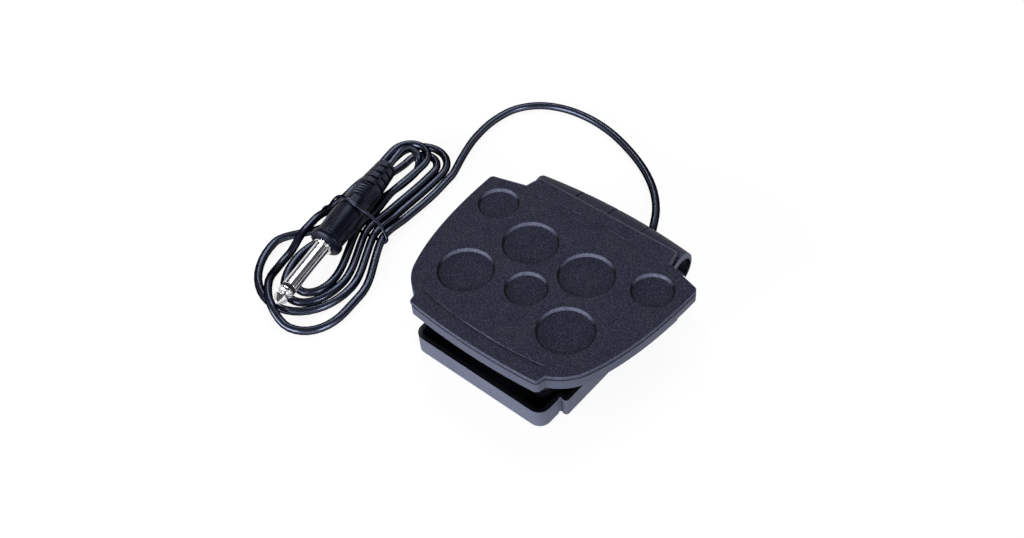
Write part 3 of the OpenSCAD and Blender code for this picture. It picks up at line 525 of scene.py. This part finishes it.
def rubber(name, recessed=False, lit_edge=False):
    """The tread's skin: blue-black rubber with a pebbled grain, its steep faces painted paler as
    highlight.

    In its recesses the floors are painted darker as shade; only the walls that face the front
    keep the painted highlight, paler still, and the others are painted dark as shade.
    A strip with the edge flag set is painted paler all over as highlight."""
    n = Nodes(name)
    cloud = n.span(n.noise(22, 3, 0.55), 0.3, 0.7)
    pebble = n.noise(0.5, 3, 0.65)
    speck = n.span(n.noise(0.6, 3, 0.7), 0.47, 0.62)
    base = n.colour(cloud, TREAD_DARK, TREAD_LIGHT)
    colour = n.blend(speck, base, n.colour(cloud, TREAD_SPECK, TREAD_SPECK_DULL))
    way = n.axes(n.facing)
    # Painted highlight: steep faces made paler, broken up by noise
    steep = n.span(n.math("ABSOLUTE", way["Z"], 0), 0.95, 0.75)
    painted_sheen = n.math("MULTIPLY", steep, n.span(n.noise(0.9, 3, 0.7), 0.25, 0.6, 0.45, 1))
    if recessed:
        # In recesses the painted highlight stays on the walls that face the front
        ahead = n.math("SUBTRACT", n.math("MULTIPLY", way["X"], 0.75), way["Y"])
        front = n.span(ahead, 0.3, 0.85)
        painted_sheen = n.math("MULTIPLY", painted_sheen, front)
        # Painted shade: the recess floors get darker colours than the top
        low = n.span(n.axes(n.place)["Z"], (PEDAL_H - 1.1) * MM, (PEDAL_H - 0.3) * MM)
        floor = n.colour(speck, RECESS_FLOOR_SHADE, RECESS_FLOOR_SHADE_SPECK)
        colour = n.blend(low, floor, colour)
        # Painted shade: steep recess walls that don't face the front are darkened
        wall_shade = n.math("MULTIPLY", steep, n.math("SUBTRACT", 1.0, front))
        colour = n.blend(wall_shade, colour, n.colour(cloud, RECESS_WALL_SHADE, SHADE_DEEP))
    # Painted highlight: the whole strip made paler
    if lit_edge:
        painted_sheen = n.span(n.noise(0.9, 3, 0.7), 0.3, 0.6, 0.5, 1)
    # The painted highlight is paler still in recesses
    paler = RECESS_SHEEN_GAIN if recessed else 1.0
    dull, bright = (tuple(c * paler for c in rub) for rub in (SHEEN_DULL, SHEEN_BRIGHT))
    colour = n.blend(painted_sheen, colour, n.colour(speck, dull, bright))
    relief = n.math("ADD", pebble, n.math("MULTIPLY", n.cells(0.6), 0.4))
    rough = n.span(n.noise(6, 4, 0.6), 0.3, 0.7, 0.55, 0.7)
    return n.finish(colour, rough, n.bump(relief, 0.04), Specular_IOR_Level=n.gloss(0.2, 0.08))


def glossy_lead(name):
    """Soft black PVC: smooth and shiny, with slow ripples and dull smears."""
    n = Nodes(name)
    colour = n.colour(n.noise(9, 3), (0.002, 0.003, 0.0095), (0.0055, 0.0075, 0.018))
    rough = n.span(n.noise(4, 3, 0.5), 0.3, 0.75, 0.23, 0.3)
    relief = n.bump(n.noise(8, 2), 0.008)
    return n.finish(colour, rough, relief, Specular_IOR_Level=n.gloss(1.0, 0.0, 0.08, 0.42),
                    Specular_Tint=LEAD_SHEEN, IOR=LEAD_IOR)


def metal(name, dark, light, rough, streak=0.4, depth=0.002):
    """Plated metal with faint turning marks and tarnish."""
    n = Nodes(name)
    tarnish = n.noise(3, 4, 0.6)
    marks = n.noise(streak, 2, 0.5)
    colour = n.colour(n.span(tarnish, 0.35, 0.7), dark, light)
    gloss = n.math("ADD", n.span(tarnish, 0.3, 0.8, rough, rough + 0.12),
                   n.span(marks, 0.5, 0.8, 0.0, 0.06))
    return n.finish(colour, gloss, n.bump(marks, depth), Metallic=1.0)


MATERIALS = {
    "tread": rubber("tread_rubber"), "recess": rubber("tread_recess", recessed=True),
    "tread_edge": rubber("tread_edge", lit_edge=True),
    # Plate and tray: a pale colour painted on the walls as light, with tops, insides and undersides
    # painted dark as shade
    "plate": moulded("plate_plastic", (0.112, 0.12, 0.178), (0.135, 0.144, 0.212), 0.42,
                     wear_and_sheen=0.09, painted_shade=plate_shade, top=spine_top_shade),
    "tray": moulded("tray_plastic", (0.156, 0.167, 0.24), (0.186, 0.198, 0.28), 0.44,
                    wear_and_sheen=0.1, painted_shade=tray_shade),
    "lead": glossy_lead("lead_pvc"),
    # Plug and relief: edges painted much lighter, part wear and part highlight
    "plug": moulded("plug_plastic", (0.0022, 0.0035, 0.0115), (0.0045, 0.0065, 0.0175), 0.3,
                    grain=0.3, grain_depth=0.003, wear_and_sheen=0.1, gloss=0.25),
    "relief": moulded("relief_rubber", (0.0045, 0.006, 0.0175), (0.009, 0.0115, 0.029), 0.32,
                      grain=0.4, grain_depth=0.006, wear_and_sheen=0.09),
    "feet": moulded("feet_rubber", (0.012, 0.012, 0.013), (0.022, 0.022, 0.024), 0.7,
                    grain=0.4, grain_depth=0.02),
    "fitting": moulded("fitting_plastic", (0.012, 0.012, 0.015), (0.02, 0.02, 0.024), 0.4),
    "plunger": moulded("plunger_plastic", (0.42, 0.035, 0.025), (0.55, 0.06, 0.045), 0.38),
    "wire": moulded("wire_white", (0.55, 0.55, 0.52), (0.68, 0.68, 0.64), 0.45),
    "board": moulded("board_laminate", (0.02, 0.085, 0.035), (0.035, 0.13, 0.055), 0.35,
                     grain=0.9, grain_depth=0.01),
    "steel": metal("steel_bright", (0.42, 0.42, 0.43), (0.6, 0.6, 0.62), 0.22),
    "black_steel": metal("steel_black", (0.02, 0.02, 0.024), (0.04, 0.04, 0.046), 0.35),
    "nickel": metal("nickel_plate", (0.62, 0.61, 0.62), (0.78, 0.77, 0.78), 0.1, 0.25, 0.001),
    "brass": metal("contact_brass", (0.55, 0.36, 0.12), (0.75, 0.52, 0.22), 0.25),
}

SPINE_BOW = 2.4
WELD_GAP = 0.002


def bow_spine(piece):
    """Bows the back of the spine outward by SPINE_BOW at its middle, its ends kept."""
    group = bpy.data.node_groups.new("spine_bow", "GeometryNodeTree")
    group.interface.new_socket("Geometry", in_out="INPUT", socket_type="NodeSocketGeometry")
    group.interface.new_socket("Geometry", in_out="OUTPUT", socket_type="NodeSocketGeometry")

    def add(kind, inputs=None, **settings):
        return add_node(group, kind, inputs, **settings).outputs

    at = add("ShaderNodeSeparateXYZ", {0: add("GeometryNodeInputPosition")[0]})
    behind = add("FunctionNodeCompare", {0: at["Y"], 1: (SPINE_Y - 1) * MM},
                 operation="GREATER_THAN")[0]
    parts = add("GeometryNodeSeparateGeometry", {
        "Geometry": add("NodeGroupInput")[0], "Selection": behind}, domain="FACE")
    fine = add("GeometryNodeSubdivideMesh", {0: parts["Selection"], "Level": 2})[0]
    share = add("ShaderNodeMath", {0: at["X"], 1: SPINE_W / 2 * MM}, operation="DIVIDE")[0]
    square = add("ShaderNodeMath", {0: share, 1: share}, operation="MULTIPLY")[0]
    along = add("ShaderNodeMath", {0: 1.0, 1: square}, operation="SUBTRACT", use_clamp=True)[0]
    across = add("ShaderNodeMapRange", {
        "Value": at["Y"], "From Min": SPINE_Y * MM, "From Max": (SPINE_Y + 4.5) * MM},
        interpolation_type="SMOOTHSTEP")["Result"]
    both = add("ShaderNodeMath", {0: along, 1: across}, operation="MULTIPLY")[0]
    move = add("ShaderNodeMath", {0: both, 1: SPINE_BOW * MM}, operation="MULTIPLY")[0]
    offset = add("ShaderNodeCombineXYZ", {"Y": move})[0]
    moved = add("GeometryNodeSetPosition", {"Geometry": fine, "Offset": offset})[0]
    join = group.nodes.new("GeometryNodeJoinGeometry")
    group.links.new(moved, join.inputs[0])
    group.links.new(parts["Inverted"], join.inputs[0])
    merged = add("GeometryNodeMergeByDistance", {
        "Geometry": join.outputs[0], "Distance": WELD_GAP * MM})[0]
    end = group.nodes.new("NodeGroupOutput")
    group.links.new(merged, end.inputs[0])
    piece.modifiers.new("bow", "NODES").node_group = group


def even_normals(piece, weight=80):
    """Shades each point mostly as the large faces round it."""
    normals = piece.modifiers.new("normals", "WEIGHTED_NORMAL")
    normals.keep_sharp = False
    normals.weight = weight


def soften(piece, width, segments, angle):
    """Rounds the edges that turn by more than angle degrees, width millimetres wide."""
    rounding = piece.modifiers.new("rounding", "BEVEL")
    rounding.width = width * MM
    rounding.segments = segments
    rounding.limit_method = "ANGLE"
    rounding.angle_limit = math.radians(angle)
    even_normals(piece)


def dress(node, key, bevel):
    """Gives a CAD node its material and, unless bevel is 0, slightly rounded edges."""
    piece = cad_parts[node]
    piece.data.materials.clear()
    piece.data.materials.append(MATERIALS[key])
    if bevel:
        weld = piece.modifiers.new("weld", "WELD")
        weld.merge_threshold = WELD_GAP * MM
        if node == "pedal_plate":
            bow_spine(piece)
        soften(piece, bevel, 3, 35)


# CAD node, material and how wide its edges are rounded
DRESSING = [
    ("base_tray", "tray", 0.3), ("rubber_feet", "feet", 0.2), ("travel_bumpers", "feet", 0.25),
    ("hinge_pin", "steel", 0.15), ("pin_clips", "black_steel", 0.1),
    ("pedal_plate", "plate", 0.3),
    ("switch_board", "board", 0.08), ("board_screws", "steel", 0.1),
    ("switch_case", "fitting", 0.15), ("switch_plunger", "plunger", 0.1),
    ("contact_bridge", "brass", 0.05), ("switch_contacts", "brass", 0.05),
    ("lead_wires", "wire", 0), ("inner_lead", "lead", 0.1),
    ("cord_clamp", "fitting", 0.2), ("clamp_screws", "steel", 0.1), ("cord_gland", "feet", 0.15),
]
for node, key, bevel in DRESSING:
    dress(node, key, bevel)

# ---------------------------------------------------------------- plug

PLUG_TIP = place(PLUG_TIP_AT)
PLUG_AXIS = (place(PLUG_END_AT) - PLUG_TIP).normalized()
PLUG_UP = (Vector((0, 0, 1)) - PLUG_AXIS * PLUG_AXIS.z).normalized()
PLUG_RIGHT = PLUG_AXIS.cross(PLUG_UP)
PLUG_LEN = (place(PLUG_END_AT) - PLUG_TIP).length
PLUG_R = 6.35 / 2
TIP_END, SLEEVE_START, SLEEVE_END, HANDLE_END = 6.9, 8.4, 31, 57
HANDLE_START = SLEEVE_END + 1.1
HANDLE_R = 6.3
FLANGE_R, NECK_R = HANDLE_R + 0.55, HANDLE_R - 0.35


def turned(name, stations, sides, radius):
    """A closed turned shape along the plug: radius(s, angle) at each station s.

    The angle runs from the plug's top round to its right."""
    points, faces = [], []
    for s in stations:
        for k in range(sides):
            a = 2 * math.pi * k / sides
            out = math.cos(a) * PLUG_UP + math.sin(a) * PLUG_RIGHT
            points.append(PLUG_TIP + PLUG_AXIS * s + out * radius(s, a))
    for i in range(len(stations) - 1):
        for k in range(sides):
            a, b = i * sides, (i + 1) * sides
            faces.append((a + k, b + k, b + (k + 1) % sides, a + (k + 1) % sides))
    faces.append(tuple(range(sides)))
    faces.append(tuple(range(len(stations) * sides - 1, (len(stations) - 1) * sides - 1, -1)))
    return mesh_piece(name, points, faces)


def lathe(name, points):
    """A plain turned shape through (s, r) points, with its edges softened."""
    radii = dict(points)
    piece = turned(name, list(radii), 64, lambda s, angle: radii[s])
    soften(piece, 0.12, 2, 25)
    return piece


def plug_tip():
    r = PLUG_R
    cone = [(0, 0.35), (0.12, 0.75), (0.5, 1.15), (2.7, r - 0.42), (3.0, r - 0.3), (3.35, r - 0.34),
            (3.6, r - 0.62), (4.15, r - 1.15), (4.8, r - 1.2), (5.15, r - 1.02), (5.75, r - 0.2),
            (6.0, r - 0.03), (TIP_END, r - 0.03)]
    return lathe("jack_tip", cone)


def plug_insulator():
    r = PLUG_R
    return lathe("jack_insulator", [(TIP_END, r - 0.05), (7.35, r - 0.05), (7.4, r - 0.3),
                                    (7.55, r - 0.3), (7.6, r - 0.05), (SLEEVE_START, r - 0.05)])


def plug_sleeve():
    r = PLUG_R
    return lathe("jack_sleeve", [(SLEEVE_START, r - 0.12), (8.55, r), (30.7, r), (30.9, r + 0.1),
                                 (SLEEVE_END, r + 0.75), (31.2, r + 0.9), (32.1, r + 0.9)])


def handle_radius(d):
    """The handle's plain form, d from its start: a flange, a waist and a slight swell."""
    if d < 2.0:
        return mix(4.4, FLANGE_R, math.sin(math.pi / 2 * min(1, (d + 0.001) / 1.9)) ** 0.9)
    if d < 2.9:
        return FLANGE_R
    if d < 4.0:
        return mix(FLANGE_R, NECK_R, ease((d - 2.9) / 1.1))
    swell = 0.35 * math.sin(math.pi * min(1, (d - 4.0) / 12.0) / 2)
    return NECK_R + swell - 0.4 * ease((d - 15) / 10)


def plug_handle():
    """The handle, with a ribbed panel on top, a seam at each side and a dimple at the right."""
    sides, step = 120, 0.16
    length = HANDLE_END - HANDLE_START
    stations = [HANDLE_START + 1.7 * (1 - math.cos(math.pi / 2 * k / 8)) * 0.9 for k in range(9)]
    stations += [HANDLE_START + 2.0 + step * k for k in range(1, int((length - 2.0) / step))]
    stations.append(HANDLE_END)

    def radius(s, angle):
        d = s - HANDLE_START
        r = handle_radius(d)
        a = (angle + math.pi) % (2 * math.pi) - math.pi
        across = a * r
        # Ribbed panel, its ridges slanting
        aside = across + 0.11 * (d - 6)
        inside = min((d - 4.6) / 0.35, (19.6 - d) / 0.35, (1.9 - abs(aside)) / 0.3)
        if inside > 0:
            ridge = 0.5 + 0.5 * math.cos(2 * math.pi * (d + 0.5 * across) / 1.1)
            r -= 0.22 * ease(inside) - 0.17 * ridge * ease(inside - 0.4)
        # Seams of the moulding
        seam = abs(abs(a) - math.radians(92)) * r
        if d > 4.4:
            r += 0.09 * (1 - ease(seam / 0.22))
        # Round dimple with a pip
        reach = math.hypot(d - 8.3, (a - math.radians(84)) * r)
        r -= 0.45 * (1 - ease((reach - 1.15) / 0.35))
        r += 0.4 * (1 - ease((reach - 0.35) / 0.45))
        return r
    return turned("jack_handle", stations, sides, radius)


def plug_relief():
    """The strain relief: five fine rings, then slots that leave the two sides in turn."""
    fine, fine_step = 5, 1.4
    body_start = HANDLE_END + fine * fine_step
    body = PLUG_LEN - body_start
    slots = 8
    step = body / (slots + 0.6)
    sides = 96
    count = 150
    stations = [HANDLE_END + (PLUG_LEN - HANDLE_END) * k / count for k in range(count + 1)]

    def radius(s, angle):
        d = s - HANDLE_END
        if s < body_start:
            ring = 0.5 - 0.5 * math.cos(2 * math.pi * d / fine_step)
            return HANDLE_R - 1.35 + 0.75 * ring ** 0.7 * ease(d / 0.3)
        t = (s - body_start) / body
        r = mix(HANDLE_R - 0.55, HANDLE_R - 1.9, t)
        k = (s - body_start) / step
        middle = math.floor(k) + 0.62
        left = math.floor(k) % 2 == 0
        centre = math.radians(-38 if left else 118)
        off = abs((angle - centre + math.pi) % (2 * math.pi) - math.pi)
        reach = ease((math.radians(82) - off) / 0.25)
        depth = 1 - ease((abs(k - middle) * step - 0.32) / 0.25)
        r -= 1.5 * depth * reach if middle < slots + 0.3 else 0
        if t > 0.97:
            r -= 0.6 * ease((t - 0.97) / 0.03)
        return r
    return turned("jack_relief", stations, sides, radius)


def build_plug():
    made = [
        (plug_tip(), "plug_tip", "nickel"), (plug_insulator(), "plug_insulator", "fitting"),
        (plug_sleeve(), "plug_sleeve", "nickel"), (plug_handle(), "plug_handle", "plug"),
        (plug_relief(), "plug_relief", "relief"),
    ]
    for piece, node, key in made:
        piece.data.materials.append(MATERIALS[key])
        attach(piece, "base")
        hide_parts(node)
    return [piece for piece, node, key in made]


PLUG = build_plug()

# ---------------------------------------------------------------- tie and lead


TIE_CORE, TIE_APART, TIE_PINCH, TIE_SIDES = 0.44, 0.27, 0.18, 20


def twin_tube(line, out, closed):
    """Points and faces of a thin wire of two cores side by side, lying flat against out."""
    points = []
    for i, centre in enumerate(line):
        head = heading(line, i, closed)
        up = (out[i] - head * out[i].dot(head)).normalized()
        across = head.cross(up)
        for k in range(TIE_SIDES):
            a = 2 * math.pi * k / TIE_SIDES
            half = TIE_APART if math.cos(a) > 0 else -TIE_APART
            pinch = 1 - TIE_PINCH * (1 - abs(math.cos(a))) ** 2
            points.append(centre + across * (half * min(1, abs(math.cos(a)) * 2)
                                             + TIE_CORE * math.cos(a))
                          + up * TIE_CORE * math.sin(a) * pinch)
    return points, hose_faces(len(line), TIE_SIDES, closed)


def build_tie():
    """The thin wire round the hank and the plug, one end left standing at the right."""
    over = [(-2.4, -3.8, 17.75), (-3.2, 1.0, 17.2), (-2.4, 4.6, 14.4), (-1.2, 7.6, 10.6),
            (-0.9, 10.6, 7.2), (-1.8, 13.3, 4.6), (-2.6, 14.2, 2.9), (-2.8, 13.4, 1.1),
            (-2.6, 10.5, 0.5), (-2.2, 0, 0.5), (-2.0, -12, 0.5), (-2.0, -17.3, 0.75),
            (-1.9, -18.8, 1.9), (-1.9, -18.95, 3.3), (-1.85, -18.0, 5.0), (-1.8, -16.0, 6.6),
            (-1.7, -14.1, 8.8), (-1.7, -12.3, 11.6), (-2.0, -10.1, 14.5), (-2.2, -7.2, 16.8)]
    points = [place(p) for p in over]
    loop = smooth_line(points + points[:1], 6)[:-1]
    middle = place((-2, -1, 7))
    rounded = [p - middle for p in loop]
    points, faces = twin_tube(loop, rounded, True)
    end = smooth_line([place(p) for p in ((-2.7, 14.2, 3.0), (-3.5, 13.9, 2.4), (-4.5, 13.1, 1.5))],
                      4)
    more, caps = twin_tube(end, [p - middle for p in end], False)
    first = len(points)
    tie = mesh_piece("tie_wire", points + more,
                     faces + [tuple(first + k for k in face) for face in caps])
    tie.data.materials.append(MATERIALS["lead"])
    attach(tie, "base")
    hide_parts("hank_tie")
    return tie


TIE = build_tie()


def build_lead():
    lead = tube("lead", LEAD_LINE, CORD_R, 16)
    lead.data.materials.append(MATERIALS["lead"])
    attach(lead, "base")
    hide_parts("cord", "cord_hank")


build_lead()

# ---------------------------------------------------------------- springs

COIL_STEPS, COIL_SIDES = 20, 10


def build_coil(name, node, wire, turns):
    """A coil spring in a CAD spring's place."""
    low, high = (Vector(corner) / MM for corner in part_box(node))
    middle = (low + high) / 2
    radius = (high.x - low.x - wire) / 2
    line = []
    for i in range(turns * COIL_STEPS + 1):
        t = i / (turns * COIL_STEPS)
        a = 2 * math.pi * turns * t
        line.append(Vector((middle.x + radius * math.cos(a), middle.y + radius * math.sin(a),
                            mix(low.z, high.z - wire, t) + wire / 2)))
    coil = tube(name, line, wire / 2, COIL_SIDES)
    coil.data.materials.append(MATERIALS["steel"])
    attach(coil, "base")
    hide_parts(node)
    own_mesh(coil)


build_coil("return_coil", "return_spring", 1.1, 7)
build_coil("switch_coil", "switch_spring", 0.36, 4)

# ---------------------------------------------------------------- tread


def bez(a, b, c, n):
    """A curve of n stretches from a to c, drawn towards b."""
    return [tuple((1 - t) ** 2 * p + 2 * t * (1 - t) * q + t * t * r for p, q, r in zip(a, b, c))
            for t in (i / n for i in range(n + 1))]


def arc(centre, r, a0, a1, n):
    """A round arc of n stretches between two angles in degrees."""
    return [(centre[0] + r * math.cos(math.radians(mix(a0, a1, i / n))),
             centre[1] + r * math.sin(math.radians(mix(a0, a1, i / n)))) for i in range(n + 1)]


def flip(points):
    """The same line on the other side of the middle, run the other way."""
    return [(-x, y) for x, y in reversed(points)]


def pedal_edge(fillet=2, corner=1.2):
    """The right-hand edge of the pedal, from the middle of the front to the spine."""
    half = FRONT_W / 2
    bow_r = (half * half + FRONT_BOW * FRONT_BOW) / (2 * FRONT_BOW)
    bow_a = math.degrees(math.asin((half - corner) / bow_r))
    notch = (half + 0.6, FRONT_Y + 3.7)
    shoulder = (half + 10.5, FRONT_Y + 13.5)
    wing = (PEDAL_W / 2, FRONT_Y + WING_BACK)
    front = arc((0, FRONT_Y - FRONT_BOW + bow_r), bow_r, -90, -90 + bow_a, 16)
    corner_end = (half, FRONT_Y + 0.75 * corner)
    round_corner = bez(front[-1], (half - 0.15, front[-1][1] + 0.05), corner_end, 4)[1:]
    side = bez(notch, (mix(notch[0], shoulder[0], 0.72), notch[1] + 3.6), shoulder, 10)
    flank = bez(shoulder, (wing[0] - 0.3, FRONT_Y + 32.5), (wing[0], wing[1] - fillet), 24)
    rear = arc((wing[0] - fillet, wing[1] - fillet), fillet, 8, 82, 8)
    return front + round_corner + side + [p for p in flank if p[1] > shoulder[1]] + rear


def tread_outline():
    """The tread's outline from above, anticlockwise."""
    inner = (SPINE_W / 2, FRONT_Y + 70.5)
    lobe = arc((SPINE_W / 2 - 2.4, FRONT_Y + 76), 1, 10, 90, 6)
    right = pedal_edge()
    return (right + [inner] + lobe + flip(lobe) + [(-inner[0], inner[1])]
            + [p for p in flip(right) if p[0] < 0])


def inset(points, d):
    """A closed outline that runs anticlockwise, moved in by d."""
    moved = []
    n = len(points)
    for i in range(n):
        a, b, c = (Vector(points[(i + k) % n]) for k in (-1, 0, 1))
        n1 = Vector((-(b - a).y, (b - a).x)).normalized()
        n2 = Vector((-(c - b).y, (c - b).x)).normalized()
        moved.append(tuple(b + (n1 + n2) * d / (1 + n1.dot(n2))))
    return moved


DISCS = [(s * x, back, r) for x, back, r in
         ((23.2, 23.5, 10.6), (13.1, 47.9, 10.6), (36, 56.5, 7.95)) for s in (-1, 1)]
DISCS.append((0, 29.85, 7.95))
# How far each ring of a disc's wall stands out from its edge, and how deep
DISC_STEPS = ((0.2, 0), (0.08, 0.04), (-0.05, 0.17), (-0.62, 1.0), (-0.85, 1.14), (-1.15, 1.2))
# Grooves: place of the middle, curve, half length, width and depth
GROOVES = ((FRONT_Y + 4.3, 0.0033, FRONT_W / 2 - 2.1, 1.25, 0.4),
           (FRONT_Y + 70.5, -0.0027, 26, 0.5, 0.25))
# How far each ring of a groove's wall stands in, in widths, and how deep, in depths
GROOVE_STEPS = ((0, 0), (0.12, 0.75), (0.24, 1))


class Skin:
    """Rings of points joined by bands of faces."""

    def __init__(self):
        self.points, self.faces = [], []

    def ring(self, outline, z):
        """Adds a level ring and gives the numbers of its points."""
        first = len(self.points)
        self.points += [(x, y, z) for x, y in outline]
        return list(range(first, len(self.points)))

    def band(self, low, high, flipped=False):
        """Joins two rings with faces that look outward or, flipped, inward."""
        n = len(low)
        for i in range(n):
            face = (low[i], low[(i + 1) % n], high[(i + 1) % n], high[i])
            self.faces.append(face[::-1] if flipped else face)

    def fill(self, outer, holes=()):
        """A flat face between an outer ring and its holes."""
        loops = [outer, *holes]
        index = [i for loop in loops for i in loop]
        corners = [[Vector((self.points[i][0], self.points[i][1], 0)) for i in loop]
                   for loop in loops]
        for tri in tessellate_polygon(corners):
            a, b, c = (index[i] for i in tri)
            pa, pb, pc = (Vector(self.points[i][:2]) for i in (a, b, c))
            turn = (pb - pa).cross(pc - pa)
            if abs(turn) > 1e-9:
                self.faces.append((a, b, c) if turn > 0 else (a, c, b))

    def hollow(self, rings):
        """A hollow through rings from its rim down to its floor, of which it gives the rim."""
        for high, low in zip(rings, rings[1:]):
            self.band(low, high, flipped=True)
        self.fill(rings[-1])
        return rings[0]


def groove_ring(y_mid, rise, half, width, less):
    """The outline of a curved groove, less mm in from its edge, with round ends."""
    r = width / 2 - less
    side = [half * k / 24 for k in range(-24, 25)]

    def at(x, off):
        slope = 2 * rise * x
        n = math.hypot(1, slope)
        return (x - slope / n * off, y_mid + rise * x * x + off / n)

    lower = [at(x, -r) for x in side]
    upper = [at(x, r) for x in reversed(side)]

    def cap(x, sign):
        slope = 2 * rise * x
        base = math.degrees(math.atan(slope))
        centre = at(x, 0)
        start = base - 90 if sign > 0 else base + 90
        return arc(centre, r, start + 30, start + 150, 4)

    return lower + cap(half, 1) + upper + cap(-half, -1)


def tread_sides(skin, outline):
    """The seam, the sides and the rounded edge: gives the lowest and the highest ring."""
    edge = 0.38
    gap = 0.03
    side_low = SEAM_TOP - 0.35
    seam = SEAM_D + 0.1
    wall = [(seam, DECK_TOP + 0.05), (seam, side_low), (0.15, side_low),
            (0.04, side_low + 0.12), (gap, PEDAL_H - edge)]
    for k in range(1, 6):
        a = math.pi / 2 * k / 5
        wall.append((gap + edge * (1 - math.cos(a)), PEDAL_H - edge * (1 - math.sin(a))))
    wall.append((gap + edge + 0.3, PEDAL_H))
    rings = [skin.ring(inset(outline, d), z) for d, z in wall]
    for low, high in zip(rings, rings[1:]):
        skin.band(low, high)
    return rings[0], rings[-1]


def tread_hollows(skin):
    """The seven discs and the two grooves: gives their rims."""
    rims = []
    for x, back, r in DISCS:
        rims.append(skin.hollow([
            skin.ring(arc((x, FRONT_Y + back), r + out, 0, 355, 71), PEDAL_H - drop)
            for out, drop in DISC_STEPS]))
    for y_mid, rise, half, width, depth in GROOVES:
        rims.append(skin.hollow([
            skin.ring(groove_ring(y_mid, rise, half, width, width * less), PEDAL_H - depth * drop)
            for less, drop in GROOVE_STEPS]))
    return rims


def build_tread():
    skin = Skin()
    outline = tread_outline()
    under, top = tread_sides(skin, outline)
    # Of the two highest bands, the stretch behind the wings gets a painted highlight
    highest = range(len(skin.faces) - 2 * len(outline), len(skin.faces))
    rear_edge = [k for k in highest
                 if skin.points[skin.faces[k][0]][1] > FRONT_Y + WING_BACK]
    skin.fill(under)
    first_hollow = len(skin.faces)
    rims = tread_hollows(skin)
    past_hollow = len(skin.faces)
    skin.fill(top, rims)
    pad = mesh_piece("tread", skin.points, skin.faces)
    even_normals(pad, 60)
    for key in ("tread", "recess", "tread_edge"):
        pad.data.materials.append(MATERIALS[key])
    for face in pad.data.polygons[first_hollow:past_hollow]:
        face.material_index = 1
    for k in rear_edge:
        pad.data.polygons[k].material_index = 2
    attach(pad, "pedal")
    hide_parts("tread_pad")


build_tread()

# ---------------------------------------------------------------- floor and light


def seen_rays(tree):
    """1 for rays of the camera, of reflections and through glass, else 0."""
    path = tree.nodes.new("ShaderNodeLightPath")
    seen = path.outputs["Is Camera Ray"]
    for name in ("Is Glossy Ray", "Is Transmission Ray"):
        seen = add_node(tree, "ShaderNodeMath", {0: seen, 1: path.outputs[name]},
                        operation="MAXIMUM").outputs[0]
    return seen


FLOOR_GLOW, FLOOR_COLOUR, FLOOR_SIZE = 0.9, 0.2, 4.0


def make_floor():
    """White paper: its white comes from its own colour, and it keeps the object's shadow."""
    mesh = bpy.data.meshes.new("floor")
    mesh.from_pydata([(x * FLOOR_SIZE, y * FLOOR_SIZE, 0)
                      for x, y in ((-1, -1), (1, -1), (1, 1), (-1, 1))], [], [(0, 1, 2, 3)])
    floor = bpy.data.objects.new("floor", mesh)
    bpy.context.scene.collection.objects.link(floor)
    material = bpy.data.materials.new("floor_paper")
    material.use_nodes = True
    tree = material.node_tree
    shader = tree.nodes["Principled BSDF"]
    shader.inputs["Base Color"].default_value = (FLOOR_COLOUR, FLOOR_COLOUR, FLOOR_COLOUR, 1)
    shader.inputs["Roughness"].default_value = 0.9
    shader.inputs["Specular IOR Level"].default_value = 0.0
    glow = add_node(tree, "ShaderNodeMath", {0: seen_rays(tree), 1: FLOOR_GLOW},
                    operation="MULTIPLY")
    shader.inputs["Emission Color"].default_value = (1, 1, 1, 1)
    tree.links.new(glow.outputs[0], shader.inputs["Emission Strength"])
    mesh.materials.append(material)


AIR_LIGHT, CEILING = 0.1, 0.1
AIR_COLOUR = (0.96, 0.975, 1, 1)
# How high, as the upward part of a view's direction, the backdrop ends
BACKDROP_LOW, BACKDROP_HIGH = 0.2, 0.5


def make_world():
    """A white surround up to the height of the backdrop, under a dark studio ceiling."""
    world = bpy.data.worlds.new("studio")
    bpy.context.scene.world = world
    world.use_nodes = True
    tree = world.node_tree
    back = tree.nodes["Background"]
    back.inputs["Color"].default_value = AIR_COLOUR
    way = tree.nodes.new("ShaderNodeTexCoord").outputs["Generated"]
    up = add_node(tree, "ShaderNodeSeparateXYZ", {0: way}).outputs["Z"]
    shown = add_node(tree, "ShaderNodeMapRange", {
        "Value": up, "From Min": BACKDROP_LOW, "From Max": BACKDROP_HIGH, "To Min": 1.0,
        "To Max": CEILING}, interpolation_type="SMOOTHSTEP").outputs["Result"]
    level = add_node(tree, "ShaderNodeMix", {
        "Factor": seen_rays(tree), "A": AIR_LIGHT, "B": shown})
    tree.links.new(level.outputs["Result"], back.inputs["Strength"])


LAMP_AIM = Vector((-0.03, 0.02, 0))
LAMP_COLOUR = (0.93, 0.95, 1.0)


def lamp(name, at, size, power):
    """A flat lamp that looks at the object, its size in metres and its power in watts."""
    data = bpy.data.lights.new(name, "AREA")
    data.shape = "RECTANGLE"
    data.size, data.size_y = size
    data.energy = power
    data.color = LAMP_COLOUR
    light = bpy.data.objects.new(name, data)
    light.location = at
    light.rotation_mode = "QUATERNION"
    light.rotation_quaternion = (LAMP_AIM - Vector(at)).to_track_quat("-Z", "Y")
    bpy.context.scene.collection.objects.link(light)


make_floor()
make_world()
lamp("front_softbox", (-0.35, -1.05, 0.3), (0.9, 0.45), 10.4)
lamp("right_softbox", (0.9, -0.3, 0.3), (0.4, 0.4), 3.7)
lamp("top_softbox", (-0.2, 0.6, 1.0), (0.5, 0.5), 2.6)
lamp("strip", (-0.75, 0.55, 0.95), (0.08, 0.5), 2.4)

view = bpy.context.scene.view_settings
view.view_transform = "Standard"
